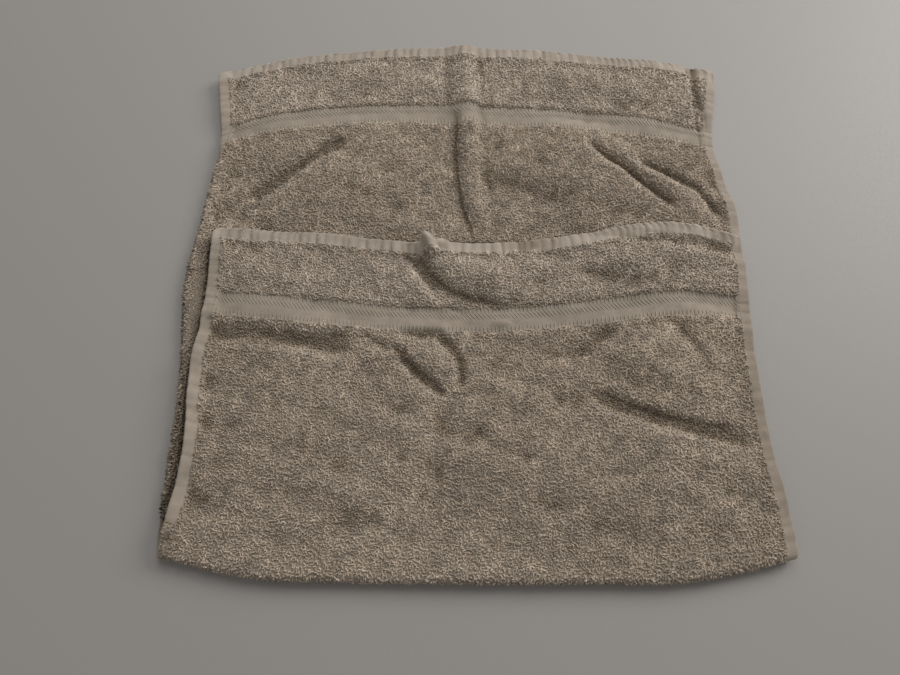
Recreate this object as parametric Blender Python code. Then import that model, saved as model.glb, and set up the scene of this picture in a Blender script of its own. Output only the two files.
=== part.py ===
"""Terry hand towel, damp and rumpled, folded once across its width and laid flat.

One woven length of cloth starts at the far end of the lower layer, comes forward along the surface,
turns up round a soft fold and runs back over itself to the free end of the upper layer.
+X runs across the width, +Y from the fold to the far end and +Z up. All sizes are in metres.
"""

from dataclasses import dataclass
import math

import bpy
import numpy as np

# The cloth as it was woven and hemmed
WIDTH = 0.410
SIDE_HEM = 0.008
END_HEM = 0.011
STRIP = 0.058  # from each end to its woven border
BORDER = 0.0215  # width of the flat woven border
TERRY = 0.0030  # thickness of the ground cloth with the loops of both faces
HEM_THICKNESS = 0.0024
BORDER_THICKNESS = 0.0018
STEP = 0.0022  # over which the thickness changes

# The lengths of flat cloth in the lower layer, the turn of the fold and the upper layer: 0.69 in all
LOWER_RUN = 0.435
UPPER_RUN = 0.245

# The fold and the space between the layers
FOLD_GAP = 0.0034
LAYER_GAP = 0.0014
GAP_RUN = 0.035  # behind the fold, over which the gap closes
TURN_RADIUS = (FOLD_GAP + TERRY) / 2.0  # of the cloth's middle
CORNER_RADIUS = 0.005

# How far the rumpled strip and border reach from each end as they lie
LOWER_STRIP_LAID = 0.060
UPPER_STRIP_LAID = 0.053

# Outlines across the width: (share of the width, y)
FOLD_EDGE = (
    (0.0, 0.016), (0.08, 0.008), (0.16, 0.0025), (0.3, 0.0005), (0.67, -0.0005), (0.84, 0.001), (1.0, 0.014),
)
FAR_END = (
    (0.0, 0.397), (0.07, 0.408), (0.22, 0.4185), (0.45, 0.4255), (0.61, 0.424), (0.8, 0.4165), (1.0, 0.4035),
)
FREE_END = (
    (0.0, 0.2505), (0.19, 0.2455), (0.36, 0.239), (0.55, 0.238),
    (0.72, 0.2465), (0.87, 0.2545), (1.0, 0.2455),
)
# How the lower border drifts from parallel with its end: (share of the width, shift along y)
LOWER_DRIFT = ((0.0, -0.001), (0.2, 0.003), (0.6, 0.0), (0.85, -0.002), (1.0, -0.008))
DRIFT_REACH = 0.11

# Outlines along the length: (y, x)
LOWER_LEFT = (
    (0.0, -0.203), (0.05, -0.2025), (0.14, -0.2025), (0.21, -0.2085),
    (0.26, -0.203), (0.33, -0.197), (0.40, -0.206),
)
LOWER_RIGHT = (
    (0.0, 0.205), (0.06, 0.199), (0.19, 0.198), (0.255, 0.204),
    (0.29, 0.200), (0.33, 0.194), (0.40, 0.204),
)
UPPER_LEFT = (
    (0.0, -0.203), (0.035, -0.197), (0.08, -0.191), (0.14, -0.1935), (0.18, -0.1905), (0.25, -0.1915),
)
UPPER_RIGHT = ((0.0, 0.205), (0.045, 0.204), (0.08, 0.200), (0.15, 0.198), (0.20, 0.201), (0.25, 0.202))


@dataclass(frozen=True)
class Mound:
    """A broad swelling of the cloth: its middle, its reach along x and y, and its height."""

    middle: tuple
    reach: tuple
    height: float


@dataclass(frozen=True)
class Crease:
    """A soft ridge (height above zero) or trough (below) along a path.

    The end depth is the share of its height that is left at its two ends.
    """

    path: tuple
    half_width: float
    height: float
    end_depth: float = 0.35


LOWER_MOUNDS = (
    Mound((-0.105, 0.305), (0.115, 0.085), 0.0056),
    Mound((-0.165, 0.335), (0.055, 0.045), 0.0024),
    Mound((0.055, 0.315), (0.090, 0.055), 0.0030),
    Mound((0.125, 0.300), (0.110, 0.080), 0.0054),
    Mound((0.160, 0.262), (0.080, 0.045), 0.0020),
    Mound((-0.070, 0.395), (0.110, 0.030), 0.0022),
    Mound((0.090, 0.392), (0.090, 0.030), 0.0022),
    Mound((0.168, 0.385), (0.060, 0.050), 0.0048),
)
LOWER_CREASES = (
    Crease(((-0.006, 0.434), (-0.002, 0.382), (0.0, 0.342), (0.0, 0.300), (0.006, 0.250)), 0.015, 0.0056),
    Crease(((-0.012, 0.356), (-0.013, 0.310), (-0.010, 0.276), (-0.001, 0.240)), 0.008, -0.0062),
    Crease(
        ((-0.098, 0.332), (-0.111, 0.325), (-0.125, 0.314), (-0.141, 0.300), (-0.180, 0.262)),
        0.009, -0.0050,
    ),
    Crease(((-0.120, 0.328), (-0.100, 0.332)), 0.016, -0.0034),
    Crease(((0.118, 0.325), (0.140, 0.298), (0.169, 0.271), (0.182, 0.255)), 0.010, 0.0022),
    Crease(
        ((0.096, 0.328), (0.109, 0.315), (0.123, 0.304), (0.139, 0.288), (0.155, 0.272)),
        0.0068, -0.0060, 0.2,
    ),
    Crease(((0.134, 0.309), (0.158, 0.298), (0.176, 0.287), (0.189, 0.266)), 0.0072, -0.0052),
    Crease(((0.184, 0.400), (0.186, 0.375), (0.187, 0.345)), 0.006, -0.0056, 0.7),
    Crease(((0.024, 0.284), (0.069, 0.282)), 0.018, -0.0024),
    Crease(((-0.203, 0.345), (-0.203, 0.396)), 0.014, 0.0052, 0.6),
)
UPPER_MOUNDS = (
    Mound((0.015, 0.212), (0.055, 0.030), 0.0050),
    Mound((-0.035, 0.215), (0.070, 0.040), 0.0042),
    Mound((-0.130, 0.205), (0.090, 0.055), 0.0036),
    Mound((0.130, 0.222), (0.090, 0.034), 0.0040),
    Mound((-0.120, 0.095), (0.095, 0.085), 0.0048),
    Mound((-0.135, 0.168), (0.105, 0.036), 0.0036),
    Mound((0.010, 0.085), (0.095, 0.080), 0.0036),
    Mound((-0.035, 0.150), (0.065, 0.042), 0.0042),
    Mound((0.135, 0.140), (0.090, 0.055), 0.0056),
    Mound((0.125, 0.070), (0.095, 0.065), 0.0050),
    Mound((-0.031, 0.147), (0.018, 0.014), 0.0026),
)
UPPER_CREASES = (
    Crease(
        ((-0.045, 0.231), (-0.032, 0.212), (-0.018, 0.197), (0.002, 0.187), (0.034, 0.183)),
        0.011, -0.0062, 0.6,
    ),
    Crease(((0.040, 0.196), (0.080, 0.208), (0.122, 0.211), (0.162, 0.219)), 0.016, -0.0030),
    Crease(
        ((-0.050, 0.153), (-0.046, 0.146), (-0.038, 0.138), (-0.029, 0.130), (-0.022, 0.124)),
        0.0065, -0.0062,
    ),
    Crease(
        ((-0.049, 0.166), (-0.023, 0.165), (-0.014, 0.155), (-0.008, 0.144), (-0.007, 0.130)),
        0.0065, -0.0050,
    ),
    Crease(((-0.100, 0.164), (-0.072, 0.161), (-0.050, 0.153)), 0.008, -0.0034),
    Crease(((0.086, 0.122), (0.099, 0.115), (0.122, 0.106), (0.152, 0.098), (0.190, 0.091)), 0.009, -0.0064),
    Crease(((0.072, 0.153), (0.099, 0.168)), 0.009, -0.0030),
    Crease(((0.149, 0.176), (0.155, 0.160), (0.162, 0.143)), 0.012, -0.0022),
    Crease(((-0.188, 0.170), (-0.150, 0.166), (-0.120, 0.161), (-0.078, 0.157)), 0.012, -0.0044, 0.6),
    Crease(((-0.200, 0.028), (-0.195, 0.100), (-0.194, 0.160), (-0.191, 0.236)), 0.016, 0.0036, 0.5),
    Crease(((-0.020, 0.116), (-0.026, 0.070), (-0.031, 0.014)), 0.013, -0.0028),
    Crease(((0.020, 0.198), (0.024, 0.172)), 0.012, 0.0024),
    Crease(((0.094, 0.247), (0.150, 0.240), (0.196, 0.232)), 0.007, -0.0022),
)

# The pinched place in the free end's hem, where the cloth stands up in a small tuck
PINCH_X = -0.032
PINCH_HALF_WIDTH = 0.010
PINCH_HEIGHT = 0.0085
PINCH_REACH = 0.018
PINCH_LEAN = 0.005

# Under the upper layer the lower one is pressed flat, and its rumples start in front of the free end
PRESSED_TO = 0.205
FREE_FROM = 0.248

# Spacing of the mesh
COARSE_COLUMN = 0.0128
FINE_COLUMN = 0.0068
FINE_COLUMNS = (0.150, 0.225)
SHOWN_ROW = 0.0100
HIDDEN_ROW = 0.026
NARROWEST = 0.0125  # half width of the narrowest crease that these spacings can carry
LOWER_SHOWN = 0.190  # how far from its end the lower layer shows
FOLD_STEPS = 7
EDGE_BULGE = 0.0007  # by which the turned edges are rounder than a straight cut

CLOTH_COLOUR = (0.40, 0.34, 0.27, 1.0)
CLOTH_ROUGHNESS = 0.95


def through(pairs, at):
    """Smooth curve through (place, value) pairs, held at its end values outside them."""
    places, values = np.array(pairs).T
    slopes = np.gradient(values, places)
    at = np.clip(at, places[0], places[-1])
    left = np.clip(np.searchsorted(places, at, side="right") - 1, 0, len(places) - 2)
    span = places[left + 1] - places[left]
    t = (at - places[left]) / span
    rise = t * t * (3.0 - 2.0 * t)
    start_pull = t * (1.0 - t) ** 2 * span * slopes[left]
    end_pull = -t * t * (1.0 - t) * span * slopes[left + 1]
    return values[left] * (1.0 - rise) + values[left + 1] * rise + start_pull + end_pull


def bell(q):
    """Smooth hump: 1 at q = 0 and exactly 0 from |q| = 1 on."""
    return np.clip(1.0 - q * q, 0.0, None) ** 2


def ease(value, start, stop):
    """Smooth rise from 0 at start to 1 at stop."""
    t = np.clip((value - start) / (stop - start), 0.0, 1.0)
    return t * t * (3.0 - 2.0 * t)


def mound_height(mound, x, y):
    """Height of one mound at places on the layer."""
    dx = (x - mound.middle[0]) / mound.reach[0]
    dy = (y - mound.middle[1]) / mound.reach[1]
    return mound.height * bell(np.hypot(dx, dy))


def crease_height(crease, x, y):
    """Height of one crease at places on the layer. Its depth fades towards both ends of its path.

    A crease narrower than the mesh can carry is drawn wider, and shallower by as much.
    """
    points = np.array(crease.path)
    shares = np.linspace(0.0, 1.0, len(points))
    best = np.full(np.shape(x), np.inf)
    along = np.zeros(np.shape(x))
    for start, stop, share, next_share in zip(points[:-1], points[1:], shares[:-1], shares[1:]):
        run = stop - start
        t = np.clip(((x - start[0]) * run[0] + (y - start[1]) * run[1]) / (run @ run), 0.0, 1.0)
        distance = np.hypot(x - start[0] - t * run[0], y - start[1] - t * run[1])
        nearer = distance < best
        best = np.where(nearer, distance, best)
        along = np.where(nearer, share + t * (next_share - share), along)
    fade = crease.end_depth + (1.0 - crease.end_depth) * np.sqrt(np.sin(math.pi * along))
    reach = max(crease.half_width, NARROWEST)
    return crease.height * crease.half_width / reach * fade * bell(best / reach)


def rumples(mounds, creases, x, y):
    """Height of a layer's mounds and creases, never below the surface that the layer lies on."""
    height = sum(mound_height(mound, x, y) for mound in mounds)
    height = height + sum(crease_height(crease, x, y) for crease in creases)
    return np.maximum(height, 0.0)


def lower_lift(x, y):
    """Height of the lower layer's underside above the surface."""
    return rumples(LOWER_MOUNDS, LOWER_CREASES, x, y) * ease(y, PRESSED_TO, FREE_FROM)


def upper_lift(x, y, fold_y):
    """Height of the upper layer's underside above the surface."""
    gap = LAYER_GAP + (FOLD_GAP - LAYER_GAP) * (1.0 - ease(y - fold_y, 0.0, GAP_RUN))
    settle = ease(y - fold_y, 0.0, GAP_RUN)
    return lower_lift(x, y) + TERRY + gap + rumples(UPPER_MOUNDS, UPPER_CREASES, x, y) * settle


def thickness(across, from_end):
    """Cloth thickness at flat places, given by distance from the left edge and from the nearer end."""
    from_side = np.minimum(across, WIDTH - across)
    border_middle = STRIP + BORDER / 2.0
    in_border = 1.0 - ease(np.abs(from_end - border_middle), BORDER / 2.0 - STEP, BORDER / 2.0)
    flat = TERRY + (BORDER_THICKNESS - TERRY) * in_border
    hem_side = 1.0 - ease(from_side, SIDE_HEM, SIDE_HEM + STEP)
    hem_end = 1.0 - ease(from_end, END_HEM, END_HEM + STEP)
    hem = np.maximum(hem_side, hem_end)
    return flat + (HEM_THICKNESS - flat) * hem


def steps(start, stop, size):
    """Even places from start to just before stop, about one size apart."""
    count = max(1, round((stop - start) / size))
    return list(np.linspace(start, stop, count, endpoint=False))


def column_places():
    """Distances from the left edge of the mesh's columns: on the hems' edges, and close in the middle."""
    fine_from, fine_to = FINE_COLUMNS
    inner = SIDE_HEM + STEP
    places = [0.0, SIDE_HEM]
    places += steps(inner, fine_from, COARSE_COLUMN)
    places += steps(fine_from, fine_to, FINE_COLUMN)
    places += steps(fine_to, WIDTH - inner, COARSE_COLUMN)
    return np.array(places + [WIDTH - inner, WIDTH - SIDE_HEM, WIDTH])


def end_places(run, shown):
    """Distances from an end of the cloth of a layer's rows, close together where the layer shows."""
    border_end = STRIP + BORDER
    places = [0.0, END_HEM]
    places += steps(END_HEM + STEP, STRIP, SHOWN_ROW)
    places += [STRIP, STRIP + STEP, border_end - STEP]
    places += steps(border_end, shown, SHOWN_ROW)
    if shown < run:
        places += steps(shown, run, HIDDEN_ROW)
    return np.array(places + [run])


def corner_inset(from_end):
    """How far a rounded corner draws the side in, this far from the end."""
    short = np.clip(CORNER_RADIUS - from_end, 0.0, CORNER_RADIUS)
    return CORNER_RADIUS - np.sqrt(CORNER_RADIUS**2 - short**2)


def layer_plan(across, from_end, run, strip_laid, end_edge, left_edge, right_edge):
    """Plan positions (x, y) of a layer's rows and columns, and the fold's tangent line."""
    share = across / WIDTH
    laid = ((0.0, 0.0), (STRIP, strip_laid), (STRIP + BORDER, strip_laid + BORDER), (run, run))
    along = np.interp(from_end, *np.array(laid).T) / run
    tangent_y = through(FOLD_EDGE, share) + TURN_RADIUS + TERRY / 2.0
    end_y = through(end_edge, share)
    y = end_y + (tangent_y - end_y) * along
    inset = corner_inset(from_end)
    left = through(left_edge, y) + inset
    right = through(right_edge, y) - inset
    return left + (right - left) * share, y, tangent_y


def lower_layer(columns):
    """Outer (under) and inner (top) surfaces of the lower layer, from its far end to the fold."""
    from_end, across = np.meshgrid(end_places(LOWER_RUN, LOWER_SHOWN), columns, indexing="ij")
    outline = (FAR_END, LOWER_LEFT, LOWER_RIGHT)
    x, y, _ = layer_plan(across, from_end, LOWER_RUN, LOWER_STRIP_LAID, *outline)
    border_middle = STRIP + BORDER / 2.0
    y = y + through(LOWER_DRIFT, across / WIDTH) * bell((from_end - border_middle) / DRIFT_REACH)
    under = lower_lift(x, y)
    top = under + thickness(across, from_end)
    return np.stack([x, y, under], axis=-1), np.stack([x, y, top], axis=-1)


def upper_layer(columns):
    """Outer (top) and inner (under) surfaces of the upper layer, from the fold to its free end."""
    from_end, across = np.meshgrid(end_places(UPPER_RUN, UPPER_RUN)[::-1], columns, indexing="ij")
    outline = (FREE_END, UPPER_LEFT, UPPER_RIGHT)
    x, y, tangent_y = layer_plan(across, from_end, UPPER_RUN, UPPER_STRIP_LAID, *outline)
    under = upper_lift(x, y, tangent_y)
    pinch = bell((x - PINCH_X) / PINCH_HALF_WIDTH) * (1.0 - ease(from_end, 0.0, PINCH_REACH))
    under = under + PINCH_HEIGHT * pinch
    y = y + PINCH_LEAN * pinch
    top = under + thickness(across, from_end)
    return np.stack([x, y, top], axis=-1), np.stack([x, y, under], axis=-1)


def fold_turn(columns):
    """Outer and inner surfaces round the fold, between the two layers' tangent rows."""
    angles = np.linspace(-math.pi / 2.0, math.pi / 2.0, FOLD_STEPS + 1)[1:-1]
    angle, across = np.meshgrid(angles, columns, indexing="ij")
    share = across / WIDTH
    centre_y = through(FOLD_EDGE, share) + TURN_RADIUS + TERRY / 2.0
    centre_z = TURN_RADIUS + TERRY / 2.0
    way = (angle / math.pi) + 0.5
    left = through(LOWER_LEFT, centre_y) * (1.0 - way) + through(UPPER_LEFT, centre_y) * way
    right = through(LOWER_RIGHT, centre_y) * (1.0 - way) + through(UPPER_RIGHT, centre_y) * way
    x = left + (right - left) * share
    half = thickness(across, np.full(np.shape(across), LOWER_RUN)) / 2.0
    surfaces = []
    for radius in (TURN_RADIUS + half, TURN_RADIUS - half):
        y = centre_y - radius * np.cos(angle)
        z = centre_z + radius * np.sin(angle)
        surfaces.append(np.stack([x, y, z], axis=-1))
    return surfaces


def rounded_rim(outer, inner):
    """Points midway between the two surfaces' edges, moved a little outwards in plan."""
    middle = (outer + inner) / 2.0
    rim = middle.copy()
    rim[:, 0, 0] -= EDGE_BULGE
    rim[:, -1, 0] += EDGE_BULGE
    rim[0, :, 1] += EDGE_BULGE
    rim[-1, :, 1] += EDGE_BULGE
    return rim


def towel_mesh():
    """Closed mesh of the whole cloth, centred in plan over its bounding box."""
    columns = column_places()
    parts = [lower_layer(columns), fold_turn(columns), upper_layer(columns)]
    outer = np.concatenate([part[0] for part in parts])
    inner = np.concatenate([part[1] for part in parts])
    rim = rounded_rim(outer, inner)
    rows, count = outer.shape[:2]
    edge = [(0, j) for j in range(count)] + [(i, count - 1) for i in range(1, rows)]
    edge += [(rows - 1, j) for j in range(count - 2, -1, -1)] + [(i, 0) for i in range(rows - 2, 0, -1)]

    size = rows * count
    points = np.concatenate([outer.reshape(-1, 3), inner.reshape(-1, 3), [rim[place] for place in edge]])
    middle = (points.min(axis=0) + points.max(axis=0)) / 2.0
    points[:, :2] -= middle[:2]

    faces = []
    for i in range(rows - 1):
        for j in range(count - 1):
            a, b, c, d = i * count + j, i * count + j + 1, (i + 1) * count + j + 1, (i + 1) * count + j
            faces.append((a, b, c, d))
            faces.append((size + d, size + c, size + b, size + a))
    for k, place in enumerate(edge):
        following = edge[(k + 1) % len(edge)]
        here, there = place[0] * count + place[1], following[0] * count + following[1]
        rim_here, rim_there = 2 * size + k, 2 * size + (k + 1) % len(edge)
        faces.append((there, here, rim_here, rim_there))
        faces.append((rim_there, rim_here, size + here, size + there))

    mesh = bpy.data.meshes.new("towel")
    mesh.from_pydata(points.tolist(), [], faces)
    mesh.validate()
    mesh.shade_smooth()
    return mesh


def cloth_material():
    """Beige cotton terry."""
    material = bpy.data.materials.new("cotton_terry")
    material.use_nodes = True
    shader = material.node_tree.nodes["Principled BSDF"]
    shader.inputs["Base Color"].default_value = CLOTH_COLOUR
    shader.inputs["Roughness"].default_value = CLOTH_ROUGHNESS
    shader.inputs["Metallic"].default_value = 0.0
    return material


def clear_scene():
    """Remove every object that the file starts with."""
    for thing in list(bpy.data.objects):
        bpy.data.objects.remove(thing, do_unlink=True)


def main():
    """Build the towel as one solid."""
    clear_scene()
    mesh = towel_mesh()
    mesh.materials.append(cloth_material())
    bpy.context.scene.collection.objects.link(bpy.data.objects.new("towel", mesh))


main()
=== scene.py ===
"""Terry hand towel, folded once across its width: its finished surfaces on the fixed frame.

Every piece is first made on the flat cloth. There, "across" runs from the left side hem, and "along" runs
from the far end of the lower layer, round the fold, to the free end of the upper layer. The flat pieces are
then laid in the towel's folds and rumples. All sizes are in metres, +Z is up and the fold is towards -Y.
"""

from dataclasses import dataclass
from enum import Enum
from functools import cached_property
import logging
import math

import bpy
from bpy.types import Material, Mesh, Node, NodeSocket, NodeTree, Object
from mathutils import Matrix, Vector
import numpy as np


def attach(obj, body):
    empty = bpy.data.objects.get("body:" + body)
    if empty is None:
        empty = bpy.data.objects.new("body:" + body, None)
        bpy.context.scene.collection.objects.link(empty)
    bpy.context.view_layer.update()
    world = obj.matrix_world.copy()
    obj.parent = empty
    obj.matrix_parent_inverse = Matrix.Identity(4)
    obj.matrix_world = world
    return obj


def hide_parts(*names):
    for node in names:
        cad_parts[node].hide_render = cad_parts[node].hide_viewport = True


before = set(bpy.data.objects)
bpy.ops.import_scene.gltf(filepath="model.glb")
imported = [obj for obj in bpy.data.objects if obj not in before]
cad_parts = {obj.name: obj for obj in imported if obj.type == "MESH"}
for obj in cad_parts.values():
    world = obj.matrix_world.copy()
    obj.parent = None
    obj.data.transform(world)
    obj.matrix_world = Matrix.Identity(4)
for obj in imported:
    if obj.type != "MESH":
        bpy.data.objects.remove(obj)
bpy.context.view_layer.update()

LOG = logging.getLogger("towel")
NODE = "towel"
BODY = "root"
# These five numbers set where creases get painted shade.
HOLLOW_FROM = 0.0002  # how far below its surroundings a crease starts to count as hollow
HOLLOW_SPAN = 0.0007  # how much deeper it counts as fully hollow
BLURRED_EDGE = 8  # grid lines along each edge where the surroundings can't be read
OPEN_BEFORE_FOLD = 0.030  # how much cloth before the fold never counts as hollow
OPEN_AFTER_FOLD = 0.010  # how much after it
LOOP_COVER = 0.35  # how much of the thinning reaches faces that loops cover

Array = np.ndarray
Pairs = tuple[tuple[float, float], ...]
Colour = tuple[float, float, float]
Feed = NodeSocket | float | str | bool | tuple[float, ...]


class Side(Enum):
    """A face of the cloth, by the way that it faces round the fold."""

    OUTER = 1.0
    INNER = -1.0


# ---------------------------------------------------------------- shapes of curves and humps


def through(pairs: Pairs, at: Array) -> Array:
    """Smooth curve through given points, held at its end values outside them.

    Args:
        pairs: (place, value) points in order of place.
        at: places to read.

    Returns:
        The curve's values there.
    """
    places, values = np.array(pairs).T
    slopes = np.gradient(values, places)
    at = np.clip(at, places[0], places[-1])
    left = np.clip(np.searchsorted(places, at, side="right") - 1, 0, len(places) - 2)
    span = places[left + 1] - places[left]
    t = (at - places[left]) / span
    rise = t * t * (3.0 - 2.0 * t)
    pull = t * (1.0 - t) ** 2 * slopes[left] - t * t * (1.0 - t) * slopes[left + 1]
    return values[left] * (1.0 - rise) + values[left + 1] * rise + span * pull


def bell(q: Array) -> Array:
    """Smooth hump, which is 1 at q = 0 and 0 from |q| = 1 on."""
    return np.clip(1.0 - q * q, 0.0, None) ** 2


def ease(value: Array, start: float, stop: float) -> Array:
    """Smooth rise from 0 at start to 1 at stop."""
    t = np.clip((value - start) / (stop - start), 0.0, 1.0)
    return t * t * (3.0 - 2.0 * t)


def steps(start: float, stop: float, size: float) -> list[float]:
    """Even places from start to just before stop, about one size apart."""
    count = max(1, round((stop - start) / size))
    return list(np.linspace(start, stop, count, endpoint=False))


@dataclass(frozen=True)
class Mound:
    """A broad swelling of the cloth."""

    middle: tuple[float, float]
    reach: tuple[float, float]
    height: float

    def at(self, x: Array, y: Array) -> Array:
        """Height of the mound at places on its layer."""
        dx = (x - self.middle[0]) / self.reach[0]
        dy = (y - self.middle[1]) / self.reach[1]
        return self.height * bell(np.hypot(dx, dy))


@dataclass(frozen=True)
class Crease:
    """A soft ridge (height above zero) or trough (below) along a path."""

    path: Pairs
    half_width: float
    height: float
    end_depth: float = 0.35

    def at(self, x: Array, y: Array) -> Array:
        """Height of the crease at places on its layer. It fades towards the ends of its path."""
        points = np.array(self.path)
        shares = np.linspace(0.0, 1.0, len(points))
        best = np.full(np.shape(x), np.inf)
        along = np.zeros(np.shape(x))
        for start, stop, share, following in zip(points[:-1], points[1:], shares[:-1], shares[1:]):
            run = stop - start
            t = np.clip(((x - start[0]) * run[0] + (y - start[1]) * run[1]) / (run @ run), 0.0, 1.0)
            distance = np.hypot(x - start[0] - t * run[0], y - start[1] - t * run[1])
            nearer = distance < best
            best = np.where(nearer, distance, best)
            along = np.where(nearer, share + t * (following - share), along)
        fade = self.end_depth + (1.0 - self.end_depth) * np.sqrt(np.sin(math.pi * along))
        return self.height * fade * bell(best / self.half_width)


@dataclass(frozen=True)
class Ripples:
    """Many small waves in all directions, as limp cloth has."""

    shortest: float
    longest: float
    height: float
    seed: int
    count: int = 18

    def at(self, x: Array, y: Array) -> Array:
        """Height of the waves, above and below zero."""
        draw = np.random.default_rng(self.seed)
        total = np.zeros(np.shape(x))
        for _ in range(self.count):
            turn, phase = draw.uniform(0.0, 2.0 * math.pi, 2)
            number = 2.0 * math.pi / draw.uniform(self.shortest, self.longest)
            total += np.sin(number * (x * math.cos(turn) + y * math.sin(turn)) + phase)
        return self.height * total / math.sqrt(self.count / 2.0)


@dataclass(frozen=True)
class Puckers:
    """Irregular grooves across a hem, where its stitches draw the cloth in."""

    length: float
    closest: float
    widest: float
    depth: float
    seed: int
    half_widths: tuple[float, float] = (0.0022, 0.0036)
    slant: float = 0.12
    weakest: float = 0.25

    def at(self, place: Array, from_edge: Array) -> Array:
        """Depth below zero of the grooves, by place along the hem and distance in from its edge."""
        draw = np.random.default_rng(self.seed)
        total = np.zeros(np.shape(place))
        middle = 0.0
        while middle < self.length:
            middle += draw.uniform(self.closest, self.widest)
            half_width, slant = draw.uniform(*self.half_widths), draw.uniform(-self.slant, self.slant)
            total -= draw.uniform(self.weakest, 1.0) * bell((place - middle - slant * from_edge) / half_width)
        return self.depth * np.maximum(total, -1.0)


# ---------------------------------------------------------------- the cloth and how it lies


@dataclass(frozen=True)
class SideCurl:
    """The lower layer's left side hem, curled under so that its pile runs right to the edge."""

    taken: float
    begins: tuple[float, float]
    ends: tuple[float, float]
    radius: float = 0.0017
    reach: float = 0.080
    fades: float = 0.6  # share of the reach where the curl's effect starts to fade
    lift_reach: float = 0.018

    def amount(self, y: Array) -> Array:
        """Share of the full curl at places along the edge."""
        return ease(y, *self.begins) * (1.0 - ease(y, *self.ends))

    def lift(self, from_edge: Array, y: Array) -> Array:
        """Height that the curled hem adds to the cloth above it."""
        turn = np.minimum(self.taken * self.amount(y) / self.radius, math.pi)
        past = np.maximum(from_edge - self.radius, 0.0)
        return self.radius * (1.0 - np.cos(turn)) * bell(past / self.lift_reach)

    def bend(self, in_cloth: Array, y: Array) -> tuple[Array, Array]:
        """Where the curl takes the cloth.

        Args:
            in_cloth: distances in from the edge of the flat cloth.
            y: places along the edge.

        Returns:
            Distances in from the curled edge, and drops below the cloth's top.
        """
        taken = self.taken * self.amount(y)
        full = taken / self.radius
        start = self.radius * np.sin(np.minimum(full, math.pi / 2.0))
        beyond = start + (in_cloth - taken) * (self.reach - start) / (self.reach - taken)
        angle = np.clip((taken - in_cloth) / self.radius, 0.0, math.pi)
        tail = np.maximum(taken - in_cloth - math.pi * self.radius, 0.0)
        curled = start - self.radius * np.sin(angle) + tail
        inward = np.where(in_cloth < taken, curled, np.where(in_cloth < self.reach, beyond, in_cloth))
        return inward, self.radius * (1.0 - np.cos(angle))


@dataclass(frozen=True)
class FlatCloth:
    """The woven and hemmed cloth before it is folded."""

    width: float = 0.410
    length: float = 0.690
    side_hem: float = 0.008
    end_hem: float = 0.011
    strip: float = 0.058
    border: float = 0.0215
    step: float = 0.0016
    terry: float = 0.0030
    hem_thickness: float = 0.0024
    border_thickness: float = 0.0018
    ground_thickness: float = 0.0013
    # Darker spots: painted shade at the right corners of both end hems, darker cloth elsewhere on the hems.
    darkened: tuple[Mound, ...] = (
        Mound((0.245, 0.686), (0.030, 0.014), 1.0),
        Mound((0.396, 0.685), (0.014, 0.010), 0.9),
        Mound((0.410, 0.560), (0.018, 0.140), 0.40),
        Mound((0.392, 0.004), (0.012, 0.012), 0.7),
    )

    def from_end(self, along: Array) -> Array:
        """Distance from the nearer end."""
        return np.minimum(along, self.length - along)

    def from_side(self, across: Array) -> Array:
        """Distance from the nearer side."""
        return np.minimum(across, self.width - across)

    def border_mask(self, across: Array, along: Array) -> Array:
        """1 in the flat woven borders, 0 elsewhere."""
        off = np.abs(self.from_end(along) - self.strip - self.border / 2.0)
        inside = 1.0 - ease(off, self.border / 2.0 - self.step, self.border / 2.0)
        return inside * (1.0 - self.hem_mask(across, along))

    def hem_mask(self, across: Array, along: Array) -> Array:
        """1 in the side and end hems, 0 elsewhere."""
        side = 1.0 - ease(self.from_side(across), self.side_hem, self.side_hem + self.step)
        end = 1.0 - ease(self.from_end(along), self.end_hem, self.end_hem + self.step)
        return np.maximum(side, end)

    def thickness(self, across: Array, along: Array, terry: float) -> Array:
        """Thickness, given that of the looped part."""
        flat = terry + (self.border_thickness - terry) * self.border_mask(across, along)
        return flat + (self.hem_thickness - flat) * self.hem_mask(across, along)


@dataclass(frozen=True)
class PaintedSlotShadow:
    """Painted shadow on the unlit strip of the lower layer beside the upper layer's left edge."""

    width: float = 0.0050
    extra: float = 0.0022  # near the fold
    extra_fades: tuple[float, float] = (0.060, 0.160)
    edge: float = 0.0012
    stop: float = 0.242
    from_fold: float = 0.004
    # How dark the painted shadow is, where a full crease counts 1.
    depth: float = 2.0


@dataclass(frozen=True)
class GridSteps:
    """Spacings of the sheet's grid over the flat cloth."""

    hem_column: float = 0.0009
    column: float = 0.0013
    woven_row: float = 0.0012  # in end hems and borders
    strip_row: float = 0.0024
    shown_row: float = 0.0026
    hidden_row: float = 0.006
    fold_row: float = 0.0007


@dataclass(frozen=True)
class LayerPlan:
    """The outline of one layer as it lies."""

    run: float
    strip_laid: float
    end: Pairs
    left: Pairs
    right: Pairs


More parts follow.
